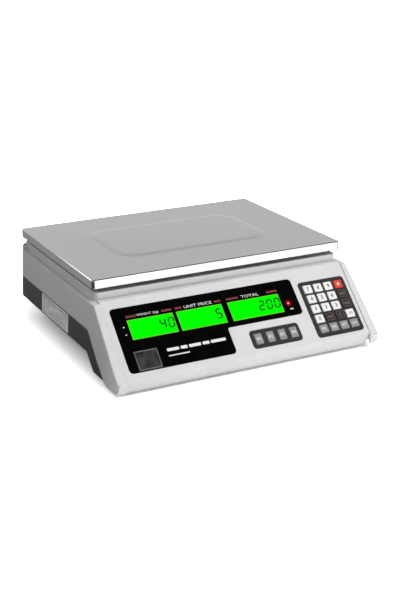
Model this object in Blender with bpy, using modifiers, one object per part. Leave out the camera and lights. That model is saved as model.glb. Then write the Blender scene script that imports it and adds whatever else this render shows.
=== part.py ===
"""Counter price scale: moulded two-part housing with a sloping front panel, a lift-off
weighing tray on a single-point load cell, twenty-four push keys, a rocker power switch and
four screw feet.

Metres, +Z up, +X to the operator's right, +Y away from the operator. The origin is on the
counter, under the middle of the housing.
"""
import bpy
import bmesh
from math import atan2, cos, hypot, pi, radians, sin, tan
from mathutils import Matrix, Vector

# ---------------------------------------------------------------- driving sizes, metres

# Housing
HOUSING_WIDTH = 0.342
HOUSING_DEPTH = 0.322
SHOULDER_HEIGHT = 0.089        # ledge round the plinth
CASE_WALL = 0.0025
REAR_CORNER = 0.013            # upright corners at the back, seen from above
FRONT_CORNER = 0.003
GAP = 0.0003                   # between pieces that touch
PAST = 0.01                    # cutters run this far past what they cut
ROOT = 0.010                   # joined shapes reach this far into the case
PARTING_HEIGHT = 0.054         # joint line between the light and the dark case
SHELF_HEIGHT = 0.028           # underside of the dark case at its sides
SIDE_DRAFT = tan(radians(3.2)) # the sides lean inwards
DRAFT_FOOT = 0.030             # from this height up
NOSE_HEIGHT = 0.0093           # underside of the dark case at its front
NOSE_STRIP = 0.029             # dark strip beside the slope, front to back
SIDE_STRIP = 0.051             # light strip beside the slope, front to back
TUB_HEIGHT = 0.012             # underside of the deep middle of the dark case
TUB_SIDE_INSET = 0.031
TUB_REAR_INSET = 0.011
TUB_FRONT_STEP = 0.004         # its front wall before the end of the nose
TUB_CORNER = 0.006
TUB_LAP = 0.002
NOSE_SIDE_INSET = 0.003
NOSE_BEHIND_LIP = 0.0035
NOSE_LAP = (0.010, 0.006)      # the nose runs this far back into the case, and is this high
SIDE_CORNERS = (0.010, 0.003)  # radius where the joint line turns down, and under the shelves

# Sloping panel
PANEL_SLOPE = radians(44.5)
PANEL_FOOT_HEIGHT = 0.0212     # lower edge of the slope
PANEL_SETBACK = 0.0037         # lower edge of the slope behind the cheeks
CHEEK_WIDTH = 0.011
CHEEK_PROUD = 0.0008
CHEEK_BOTTOM = 0.005
CHEEK_TOP_RADIUS = 0.003
TOE_RADII = (0.003, 0.002, 0.0015)  # at the top of the toe, at its bend and at its underside
TOE_FACE = 0.004               # height of its upright front
TOE_STEPS = (0.0025, 0.0065)   # its bend and its underside behind the front
CHEEK_FOOT_STEP = 0.005        # its underside ends this far before the dark strip
LIP_UNDERCUT = 0.0068
LIP_BOTTOM = 0.0045
FASCIA_THICKNESS = 0.003
CREST_RISE = 0.0018            # the fascia folds back over the ledge this far above the shoulder
CREST_SLIT = 0.0022            # from its rear edge to the plinth
OPENING_DEPTH = 0.007          # room cut in the case behind the panel's plane
OPENING_FOOT = 0.004           # more room at the lip

# Plinth under the tray, and the hood over the rear display
LEDGE_WIDTH = 0.0098
PLINTH_RISE = 0.0098           # above the shoulder
PLINTH_FRONT_STEP = 0.011
PLINTH_REAR_STEP = 0.0015
PLINTH_CORNER = 0.006
HOOD_RISE = 0.0065
HOOD_DEPTH = 0.012
HOOD_SIDE_INSET = 0.0015

# Tray
TRAY_RISE = 0.0259             # above the shoulder
TRAY_SHEET = 0.001
TRAY_SKIRT = 0.0106
TRAY_CORNER = 0.005
TRAY_SIDE_INSET = 0.006
TRAY_FRONT_STEP = 0.0078       # tray's front edge behind the shoulder
TRAY_REAR_INSET = 0.0005
TRAY_PAD_BORDER = (0.060, 0.0565)
TRAY_PAD_RISE = 0.0012
TRAY_PAD_SLOPE = 0.008
TRAY_PAD_CORNER = 0.028

# Black display panel, and what shows through it
DISPLAY_TOP = 0.009            # down the slope from the shoulder
DISPLAY_BOTTOM_MARGIN = 0.0077
DISPLAY_LEFT_MARGIN = 0.008
DISPLAY_KEYPAD_SPACE = 0.0075
DISPLAY_BELOW_LCD = 0.0065     # its right part ends this far under the displays
DISPLAY_CORNER = 0.0045
DISPLAY_THICKNESS = 0.0012
LCD_TOP = 0.0250
LCD_HEIGHT = 0.0248
LCD_LEFT_MARGIN = 0.0165
LCD_RIGHT_MARGIN = 0.0225
LCD_SPACES = (0.0042, 0.0076)
LCD_SHARES = (0.3093, 0.3185, 0.3722)
LCD_DEPTH = 0.0065
LCD_RECESS = 0.0007
LCD_WELL_ROOM = 0.0015         # round the displays, in the fascia
NOTCH_RADIUS = 0.003
LAMP_RADIUS = 0.0015
LAMP_INSET = 0.0139
LAMP_DOWN = 0.0398
LAMP_PROUD = 0.0002
LEVEL_SIZE = (0.0283, 0.0235)
LEVEL_LEFT = 0.0112
LEVEL_BOTTOM = 0.0012
LEVEL_PROUD = 0.0012
LEVEL_EDGE = 0.0006
VIAL_PLACE = (0.002, 0.0015)   # behind the middle of the window, and clear under it
VIAL_RADIUS = 0.0075
VIAL_HEIGHT = 0.006

# Keys
KEY_COLUMNS = 4
KEY_ROWS = 5
KEY_SIZE = (0.0112, 0.0106)
KEY_SPACE = (0.0032, 0.0028)
KEY_PROUD = 0.0017
KEY_TRAVEL = 0.0008
KEY_STEM = 0.0046              # depth of a key below the panel
KEY_FLANGE = (0.0006, 0.0008)  # how far out, how thick
KEY_CLEARANCE = 0.0003
KEY_EDGE = 0.0006
FLANGE_ABOVE_BACK = 0.0006     # flange's top over the back of the fascia
FRAME_MARGIN = 0.0050
FRAME_BOTTOM_MARGIN = 0.0056
FRAME_RIGHT_MARGIN = 0.0050
FRAME_CORNER = 0.004
FRAME_THICKNESS = 0.0012
FRAME_PROUD = 0.0004
MEMORY_KEYS = 4
MEMORY_KEY_SIZE = (0.0095, 0.0132)
MEMORY_KEY_SPACE = 0.0062
MEMORY_MARGIN = (0.0045, 0.0048)
MEMORY_BOTTOM_MARGIN = 0.0078
MEMORY_KEYPAD_SPACE = 0.0208
MEMORY_DISPLAY_SPACE = 0.0235

# Boards behind the panel
BOARD = 0.0016
DISPLAY_BOARD_BORDER = 0.006
KEY_BOARD_BORDER = 0.002

# Weighing gear
CELL = (0.030, 0.130, 0.022)
CELL_HEIGHT = 0.036
CELL_HOLE_RADIUS = 0.0075
CELL_HOLE_SPACING = 0.018
CELL_END = 0.035
BASE_PLATE = (0.040, 0.140, 0.004)
SPIDER_THICKNESS = 0.005
SPIDER_CLEARANCE = 0.0032
SPIDER_INSET = (0.045, 0.0405) # tray supports inside the edge of the tray
SPIDER_ARM = 0.022
SPIDER_HUB = (0.030, 0.020, 0.030)  # half width, before the post, behind the tray's middle
SPIDER_STUB_RADIUS = 0.008
SPIDER_POST_RADIUS = 0.012
POST_HOLE_CLEARANCE = 0.003

# Power
BATTERY = (0.070, 0.101, 0.047)
BATTERY_CLEAR = (0.0035, 0.004) # from the left foot's nut, and from the rear wall
STRAP_WIDTH = 0.018
STRAP_THICKNESS = 0.0015
STRAP_FOOT = 0.008
CORE = (0.054, 0.018, 0.045)
WINDING = (0.034, 0.040, 0.028)
TRANSFORMER_CLEAR = (0.0155, 0.0295)  # from the right and the rear wall
MAIN_BOARD = (0.110, 0.066)
MAIN_BOARD_CLEAR = 0.0025      # from the right wall
MAIN_BOARD_RISE = 0.008
BOSS_RADIUS = 0.0035
BOSS_INSET = 0.006
BATTERY_EDGE = 0.0015
INLET_FLANGE = (0.0300, 0.0224)
INLET_FLANGE_THICKNESS = 0.0014
INLET_SOCKET = (0.0245, 0.0165)
INLET_WALL = 0.0014
INLET_DEPTH = 0.0175
INLET_PIN = (0.002, 0.010, 0.004)
INLET_PINS = ((-0.007, -0.002), (0.0, 0.002), (0.007, -0.002))
INLET_SIDE_INSET = 0.076
REAR_WINDOW = (0.210, 0.026)
REAR_WINDOW_THICKNESS = 0.0014
REAR_WINDOW_BELOW_HOOD = 0.0075
REAR_LCD = (0.180, 0.018)
REAR_LCD_DEPTH = 0.009
REAR_LCD_ROOM = 0.001

# Rocker switch, facing down out of the right-hand shelf
SWITCH_FLANGE = (0.0150, 0.0210, 0.0018)
SWITCH_BODY = (0.0130, 0.0190, 0.0150)
SWITCH_POCKET = (0.0106, 0.0166, 0.0105)
SWITCH_SIDE_INSET = 0.0150
SWITCH_BEHIND_SHELF = 0.0224   # its middle behind the front end of the shelf
ROCKER_WIDTH = 0.0098
ROCKER_HALF_LENGTH = 0.0069
ROCKER_V = 0.0014              # its two ends stand this far over its middle
ROCKER_TOP = (0.001, 0.003)    # over the pivot at its ends, and in its middle
ROCKER_ANGLE = radians(8)
ROCKER_PIVOT_RISE = 0.0045

# Screw feet
FOOT_SIDE_INSET = 0.047
FOOT_FRONT = 0.086             # front feet behind the front of the housing
FOOT_REAR = 0.032              # rear feet before the back of the housing
PAD_RADIUS = 0.011
PAD_THICKNESS = 0.005
PAD_EDGE = 0.001
STUD_RADIUS = 0.004
STUD_CLEARANCE = 0.0002
STUD_TOP = 0.030
COLLAR_RADIUS = 0.0075
COLLAR_THICKNESS = 0.004
NUT_BOSS = (0.0075, 0.009)

# Rating label on the left of the dark case
LABEL_LENGTH = 0.089
LABEL_REAR = 0.0844
LABEL_TOP_MARGIN = 0.0006
LABEL_BOTTOM = 0.0300
LABEL_THICKNESS = 0.0003

# ---------------------------------------------------------------- sizes that follow

HALF_WIDTH = HOUSING_WIDTH / 2
HALF_DEPTH = HOUSING_DEPTH / 2
PLINTH_HEIGHT = SHOULDER_HEIGHT + PLINTH_RISE
HOOD_HEIGHT = SHOULDER_HEIGHT + HOOD_RISE
TRAY_TOP = SHOULDER_HEIGHT + TRAY_RISE
PANEL_LENGTH = (SHOULDER_HEIGHT - PANEL_FOOT_HEIGHT) / sin(PANEL_SLOPE)
PANEL_FOOT_Y = -HALF_DEPTH + PANEL_SETBACK
SHOULDER_Y = PANEL_FOOT_Y + PANEL_LENGTH * cos(PANEL_SLOPE)
PANEL_HALF = HALF_WIDTH - CHEEK_WIDTH
PANEL = Matrix.Translation((0, SHOULDER_Y, SHOULDER_HEIGHT)) @ Matrix.Rotation(PANEL_SLOPE, 4, "X")
SIDEWAYS = Matrix(((0, 0, 1, 0), (1, 0, 0, 0), (0, 1, 0, 0), (0, 0, 0, 1)))  # outline y, z; thickness x

KEY_PITCH = (KEY_SIZE[0] + KEY_SPACE[0], KEY_SIZE[1] + KEY_SPACE[1])
MEMORY_KEY_PITCH = MEMORY_KEY_SIZE[0] + MEMORY_KEY_SPACE
FRAME_SIZE = ((KEY_COLUMNS - 1) * KEY_PITCH[0] + KEY_SIZE[0] + 2 * FRAME_MARGIN,
              (KEY_ROWS - 1) * KEY_PITCH[1] + KEY_SIZE[1] + 2 * FRAME_MARGIN)
FRAME_LEFT = PANEL_HALF - FRAME_RIGHT_MARGIN - FRAME_SIZE[0]
FRAME_TOP = PANEL_LENGTH - FRAME_BOTTOM_MARGIN - FRAME_SIZE[1]
MEMORY_FRAME = ((MEMORY_KEYS - 1) * MEMORY_KEY_PITCH + MEMORY_KEY_SIZE[0] + 2 * MEMORY_MARGIN[0],
                MEMORY_KEY_SIZE[1] + 2 * MEMORY_MARGIN[1])
MEMORY_LEFT = FRAME_LEFT - MEMORY_KEYPAD_SPACE - MEMORY_FRAME[0]
MEMORY_TOP = PANEL_LENGTH - MEMORY_BOTTOM_MARGIN - MEMORY_FRAME[1]
DISPLAY_LEFT = -PANEL_HALF + DISPLAY_LEFT_MARGIN
DISPLAY_RIGHT = FRAME_LEFT - DISPLAY_KEYPAD_SPACE
DISPLAY_NOTCH = MEMORY_LEFT - MEMORY_DISPLAY_SPACE
DISPLAY_BOTTOM = PANEL_LENGTH - DISPLAY_BOTTOM_MARGIN
DISPLAY_STEP = LCD_TOP + LCD_HEIGHT + DISPLAY_BELOW_LCD
LCD_SPAN = DISPLAY_RIGHT - LCD_RIGHT_MARGIN - DISPLAY_LEFT - LCD_LEFT_MARGIN - sum(LCD_SPACES)

TRAY_HALF_WIDTH = HALF_WIDTH - TRAY_SIDE_INSET
TRAY_FRONT = SHOULDER_Y + TRAY_FRONT_STEP
TRAY_REAR = HALF_DEPTH - TRAY_REAR_INSET
TRAY_CENTRE = (TRAY_FRONT + TRAY_REAR) / 2
TRAY_PAD = (TRAY_HALF_WIDTH - TRAY_PAD_BORDER[0], (TRAY_REAR - TRAY_FRONT) / 2 - TRAY_PAD_BORDER[1])
SPIDER_REACH = (TRAY_HALF_WIDTH - SPIDER_INSET[0], (TRAY_REAR - TRAY_FRONT) / 2 - SPIDER_INSET[1])
TUB_HALF_WIDTH = HALF_WIDTH - TUB_SIDE_INSET
TUB_REAR = HALF_DEPTH - TUB_REAR_INSET
TUB_FLOOR = TUB_HEIGHT + CASE_WALL
SHELF_FLOOR = SHELF_HEIGHT + CASE_WALL
FOOT_X = HALF_WIDTH - FOOT_SIDE_INSET
POST_Y = TRAY_CENTRE - CELL[1] / 2 + CELL_END / 2
SPIDER_BOTTOM = PLINTH_HEIGHT + SPIDER_CLEARANCE


def panel_y(height):
    """Where the panel's plane is at a height."""
    return PANEL_FOOT_Y + (height - PANEL_FOOT_HEIGHT) / tan(PANEL_SLOPE)


def cheek_y(height):
    """Where the cheeks' front is at a height."""
    return panel_y(height) - CHEEK_PROUD / sin(PANEL_SLOPE)


def strip_y(height):
    """Where the joint line of the two cases runs beside the slope."""
    return panel_y(height) + SIDE_STRIP


def shelf_front():
    """Front end of the lifting shelves."""
    return strip_y(SHELF_HEIGHT) + NOSE_STRIP


def tub_front():
    """Front wall of the deep middle."""
    return strip_y(NOSE_HEIGHT) + NOSE_STRIP - TUB_FRONT_STEP


def transformer_place():
    return (TUB_HALF_WIDTH - CASE_WALL - TRANSFORMER_CLEAR[0] - CORE[0] / 2,
            TUB_REAR - CASE_WALL - TRANSFORMER_CLEAR[1] - WINDING[1] / 2)


def main_board_place():
    """Midway between the front wall and the transformer's winding."""
    rear = transformer_place()[1] - WINDING[1] / 2
    return (TUB_HALF_WIDTH - CASE_WALL - MAIN_BOARD_CLEAR - MAIN_BOARD[0] / 2,
            (tub_front() + CASE_WALL + rear) / 2)


def inlet_place():
    """Middle of the mains inlet, x and z."""
    return HALF_WIDTH - INLET_SIDE_INSET, (SHELF_HEIGHT + PARTING_HEIGHT) / 2


def inlet_cutters(name):
    """Seat for the inlet's flange and hole for its shell."""
    x, z = inlet_place()
    wide, high = INLET_FLANGE[0] / 2 + GAP, INLET_FLANGE[1] / 2 + GAP
    seat = block(name + "_seat", (x - wide, HALF_DEPTH - INLET_FLANGE_THICKNESS - GAP, z - high),
                 (x + wide, HALF_DEPTH + PAST, z + high))
    wide, high = (INLET_SOCKET[0] / 2 + INLET_WALL + GAP, INLET_SOCKET[1] / 2 + INLET_WALL + GAP)
    hole = block(name + "_hole", (x - wide, HALF_DEPTH - 2 * PAST, z - high),
                 (x + wide, HALF_DEPTH + PAST, z + high))
    return seat, hole


def lcd_edges():
    """Left and right edge of each of the three displays."""
    edges = []
    left = DISPLAY_LEFT + LCD_LEFT_MARGIN
    for share, space in zip(LCD_SHARES, LCD_SPACES + (0.0,)):
        edges.append((left, left + share * LCD_SPAN))
        left += share * LCD_SPAN + space
    return edges


# ---------------------------------------------------------------- modelling helpers

def clear_scene():
    for thing in list(bpy.data.objects):
        bpy.data.objects.remove(thing)
    for mesh in list(bpy.data.meshes):
        bpy.data.meshes.remove(mesh)


def collection(name):
    made = bpy.data.collections.new(name)
    bpy.context.scene.collection.children.link(made)
    return made


def material(name, colour, roughness, metallic=0.0):
    made = bpy.data.materials.new(name)
    made.use_nodes = True
    shader = made.node_tree.nodes["Principled BSDF"]
    shader.inputs["Base Color"].default_value = (*colour, 1.0)
    shader.inputs["Roughness"].default_value = roughness
    shader.inputs["Metallic"].default_value = metallic
    return made


def add(name, mesh, finish=None):
    """A named object: a sub-part when it has a finish, otherwise a cutter."""
    thing = bpy.data.objects.new(name, mesh)
    if finish:
        mesh.materials.clear()
        mesh.materials.append(finish)
        PARTS.objects.link(thing)
    else:
        CUTTERS.objects.link(thing)
        thing.hide_render = True
        thing.display_type = "WIRE"
    return thing


def rounded(corners, steps=4):
    """An outline whose corners (x, y, radius) are turned into arcs."""
    points = []
    count = len(corners)
    for i, (x, y, radius) in enumerate(corners):
        here = Vector((x, y))
        to_last = (Vector(corners[i - 1][:2]) - here).normalized()
        to_next = (Vector(corners[(i + 1) % count][:2]) - here).normalized()
        if radius == 0:
            points.append(here)
            continue
        half = to_last.angle(to_next) / 2
        centre = here + (to_last + to_next).normalized() * (radius / sin(half))
        start = here + to_last * (radius / tan(half)) - centre
        end = here + to_next * (radius / tan(half)) - centre
        sweep = atan2(start.x * end.y - start.y * end.x, start.dot(end))
        for k in range(steps + 1):
            turn = Matrix.Rotation(sweep * k / steps, 2)
            points.append(centre + turn @ start)
    return points


def rectangle(left, right, bottom, top, radius=0.0, steps=4):
    corners = [(left, bottom, radius), (right, bottom, radius), (right, top, radius), (left, top, radius)]
    return rounded(corners, steps)


def beside_path(points, distance):
    """The open path shifted to its left by a distance, with mitred corners."""
    path = [Vector(p) for p in points]
    runs = [(b - a).normalized() for a, b in zip(path, path[1:])]
    lefts = [Vector((-run.y, run.x)) for run in runs]
    shifted = [path[0] + lefts[0] * distance]
    for corner, one, two in zip(path[1:-1], lefts, lefts[1:]):
        shifted.append(corner + (one + two) * (distance / (1 + one.dot(two))))
    shifted.append(path[-1] + lefts[-1] * distance)
    return shifted


def prism(name, outline, low, high, place=Matrix(), finish=None):
    """A flat outline given a thickness from low to high along its own z, then placed."""
    curve = bpy.data.curves.new(name, "CURVE")
    curve.dimensions = "2D"
    curve.fill_mode = "BOTH"
    curve.extrude = (high - low) / 2
    spline = curve.splines.new("POLY")
    spline.points.add(len(outline) - 1)
    for point, (x, y) in zip(spline.points, outline):
        point.co = (x, y, 0, 1)
    spline.use_cyclic_u = True
    guide = bpy.data.objects.new(name + "_outline", curve)
    CUTTERS.objects.link(guide)
    mesh = bpy.data.meshes.new_from_object(guide.evaluated_get(bpy.context.evaluated_depsgraph_get()))
    bpy.data.objects.remove(guide)
    mesh.transform(place @ Matrix.Translation((0, 0, (low + high) / 2)))
    weld(mesh)
    return add(name, mesh, finish)


def weld(mesh):
    work = bmesh.new()
    work.from_mesh(mesh)
    bmesh.ops.remove_doubles(work, verts=work.verts, dist=1e-6)
    bmesh.ops.recalc_face_normals(work, faces=work.faces)
    work.to_mesh(mesh)
    work.free()


def block(name, low, high, finish=None, place=Matrix()):
    """A box from its low corner to its high corner."""
    mesh = bpy.data.meshes.new(name)
    work = bmesh.new()
    size = [b - a for a, b in zip(low, high)]
    middle = [(a + b) / 2 for a, b in zip(low, high)]
    shape = place @ Matrix.Translation(middle) @ Matrix.Diagonal((*size, 1))
    bmesh.ops.create_cube(work, size=1, matrix=shape)
    work.to_mesh(mesh)
    work.free()
    return add(name, mesh, finish)


def blocks(name, boxes, place=Matrix()):
    """A cutter of several separate boxes."""
    mesh = bpy.data.meshes.new(name)
    work = bmesh.new()
    for low, high in boxes:
        size = [b - a for a, b in zip(low, high)]
        middle = [(a + b) / 2 for a, b in zip(low, high)]
        shape = place @ Matrix.Translation(middle) @ Matrix.Diagonal((*size, 1))
        bmesh.ops.create_cube(work, size=1, matrix=shape)
    work.to_mesh(mesh)
    work.free()
    return add(name, mesh)


def rods(name, centres, radius, low, high, finish=None, sides=24, place=Matrix()):
    """Upright round bars, one at each centre."""
    mesh = bpy.data.meshes.new(name)
    work = bmesh.new()
    for x, y in centres:
        shape = place @ Matrix.Translation((x, y, (low + high) / 2))
        bmesh.ops.create_cone(work, cap_ends=True, segments=sides, radius1=radius, radius2=radius,
                              depth=high - low, matrix=shape)
    work.to_mesh(mesh)
    work.free()
    return add(name, mesh, finish)


def boolean(thing, tool, operation):
    step = thing.modifiers.new(operation.lower() + "_" + tool.name, "BOOLEAN")
    step.operation = operation
    step.object = tool
    step.solver = "EXACT"


def cut(thing, *tools):
    for tool in tools:
        boolean(thing, tool, "DIFFERENCE")


def join(thing, *tools):
    for tool in tools:
        boolean(thing, tool, "UNION")


def keep_inside(thing, tool):
    boolean(thing, tool, "INTERSECT")


def soften(thing, width, segments=2):
    edge = thing.modifiers.new("soft_edges", "BEVEL")
    edge.width = width
    edge.segments = segments
    edge.limit_method = "ANGLE"
    edge.angle_limit = radians(40)


def settle(thing):
    """Applies an object's modifiers, so that copies can share its mesh."""
    graph = bpy.context.evaluated_depsgraph_get()
    mesh = bpy.data.meshes.new_from_object(thing.evaluated_get(graph))
    thing.modifiers.clear()
    thing.data = mesh
    return mesh


def shade(thing, angle=35):
    thing.data.shade_smooth()
    thing.data.set_sharp_from_angle(angle=radians(angle))


# ---------------------------------------------------------------- housing

def lean(thing):
    """Moves the sides inwards by the draft, which is nothing at the draft's foot."""
    for vertex in thing.data.vertices:
        shift = SIDE_DRAFT * (vertex.co.z - DRAFT_FOOT)
        vertex.co.x -= shift if vertex.co.x > 0 else -shift
    return thing


def plan(name, inset, low, high):
    """The housing's outline from above, upright at the foot and with leaning sides over it."""
    rear = REAR_CORNER - inset
    front = max(FRONT_CORNER - inset, 0.0005)
    x = HALF_WIDTH - inset
    y = HALF_DEPTH - inset
    outline = rounded([(-x, -y, front), (x, -y, front), (x, y, rear), (-x, y, rear)], 6)
    upright = prism(name, outline, low, high)
    keep_inside(upright, lean(prism(name + "_draft", outline, low - PAST, high + PAST)))
    return upright


def make_upper_case():
    """Light moulding: sides, back, ledge, plinth and the cheeks beside the slope."""
    toe = PANEL_FOOT_HEIGHT + (CHEEK_PROUD / sin(PANEL_SLOPE) - PANEL_SETBACK) * tan(PANEL_SLOPE)
    side = rounded([
        (HALF_DEPTH, SHOULDER_HEIGHT, 0),
        (cheek_y(SHOULDER_HEIGHT), SHOULDER_HEIGHT, CHEEK_TOP_RADIUS),
        (-HALF_DEPTH, toe, TOE_RADII[0]),
        (-HALF_DEPTH, toe - TOE_FACE, 0),
        (-HALF_DEPTH + TOE_STEPS[0], NOSE_HEIGHT, TOE_RADII[1]),
        (-HALF_DEPTH + TOE_STEPS[1], CHEEK_BOTTOM, TOE_RADII[2]),
        (strip_y(NOSE_HEIGHT) - CHEEK_PROUD - CHEEK_FOOT_STEP, CHEEK_BOTTOM, TOE_RADII[2]),
        (strip_y(NOSE_HEIGHT), NOSE_HEIGHT, 0),
        (strip_y(PARTING_HEIGHT), PARTING_HEIGHT, SIDE_CORNERS[0]),
        (HALF_DEPTH, PARTING_HEIGHT, 0)])
    case = prism("upper_case", side, -HALF_WIDTH, HALF_WIDTH, SIDEWAYS, LIGHT_ABS)
    hood_x = HALF_WIDTH - HOOD_SIDE_INSET
    hood = block("hood", (-hood_x, HALF_DEPTH - HOOD_DEPTH, SHOULDER_HEIGHT - ROOT),
                 (hood_x, HALF_DEPTH, HOOD_HEIGHT))
    join(case, hood)
    keep_inside(case, plan("upper_case_plan", 0, -PAST, HOUSING_WIDTH))
    ledge_x = HALF_WIDTH - LEDGE_WIDTH
    plinth_front = SHOULDER_Y + PLINTH_FRONT_STEP
    plinth_rear = HALF_DEPTH - PLINTH_REAR_STEP
    join(case, prism("plinth", rectangle(-ledge_x, ledge_x, plinth_front, plinth_rear, PLINTH_CORNER),
                     SHOULDER_HEIGHT - ROOT, PLINTH_HEIGHT))

    # hollow: the same shapes one wall further in, open downwards
    wall = CASE_WALL
    seat = SHOULDER_HEIGHT + CREST_RISE - FASCIA_THICKNESS - GAP
    inner_top = seat - wall
    inner_front = cheek_y(inner_top) + wall / sin(PANEL_SLOPE)
    toe_y = -HALF_DEPTH + wall + NOSE_BEHIND_LIP
    toe_z = inner_top + (toe_y - inner_front) * tan(PANEL_SLOPE)
    hollow = prism("upper_hollow", [
        (HALF_DEPTH - wall, SHOULDER_HEIGHT - wall), (plinth_front + wall, SHOULDER_HEIGHT - wall),
        (plinth_front + wall, inner_top), (inner_front, inner_top),
        (toe_y, toe_z), (toe_y, -PAST), (HALF_DEPTH - wall, -PAST)],
        -HALF_WIDTH + wall, HALF_WIDTH - wall, SIDEWAYS)
    keep_inside(hollow, plan("upper_hollow_plan", wall, -2 * PAST, HOUSING_WIDTH))
    inner_x = ledge_x - wall
    join(hollow, prism("plinth_hollow", rectangle(-inner_x, inner_x, plinth_front + wall, plinth_rear - wall,
                                                  PLINTH_CORNER - wall),
                       SHOULDER_HEIGHT - 2 * ROOT, PLINTH_HEIGHT - wall))
    cut(case, hollow)

    # front left open for the fascia, between the cheeks
    slope = Vector((cos(PANEL_SLOPE), sin(PANEL_SLOPE)))
    inward = Vector((sin(PANEL_SLOPE), -cos(PANEL_SLOPE)))
    top = Vector((SHOULDER_Y, SHOULDER_HEIGHT))
    foot = Vector((PANEL_FOOT_Y, PANEL_FOOT_HEIGHT))
    edge = top + slope * (CREST_RISE / sin(PANEL_SLOPE))
    beyond = -HALF_DEPTH - 2 * PAST
    opening = prism("fascia_opening", [
        top + slope * 2 * PAST, edge, edge + inward * OPENING_DEPTH,
        foot + inward * (OPENING_DEPTH + OPENING_FOOT), (foot.x + 2 * PAST, -2 * PAST),
        (beyond, -2 * PAST), (beyond, SHOULDER_HEIGHT + PAST)],
        -PANEL_HALF, PANEL_HALF, SIDEWAYS)
    ledge_seat = block("ledge_seat", (-PANEL_HALF, SHOULDER_Y - PAST, seat),
                       (PANEL_HALF, plinth_front + GAP, SHOULDER_HEIGHT + GAP))
    post = SPIDER_POST_RADIUS + POST_HOLE_CLEARANCE
    post_hole = block("post_hole", (-post, POST_Y - post, PLINTH_HEIGHT - PAST),
                      (post, POST_Y + post, PLINTH_HEIGHT + PAST))
    window_top = HOOD_HEIGHT - REAR_WINDOW_BELOW_HOOD
    wide = REAR_WINDOW[0] / 2 + GAP
    low = window_top - REAR_WINDOW[1] - GAP
    window_seat = block("rear_window_seat", (-wide, HALF_DEPTH - REAR_WINDOW_THICKNESS - GAP, low),
                        (wide, HALF_DEPTH + PAST, window_top + GAP))
    middle = window_top - REAR_WINDOW[1] / 2
    wide, high = REAR_LCD[0] / 2 + REAR_LCD_ROOM, REAR_LCD[1] / 2 + REAR_LCD_ROOM
    lcd_hole = block("rear_lcd_hole", (-wide, HALF_DEPTH - 2 * PAST, middle - high),
                     (wide, HALF_DEPTH + PAST, middle + high))
    cut(case, opening, ledge_seat, post_hole, window_seat, lcd_hole, *inlet_cutters("upper_inlet"))
    return case


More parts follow.
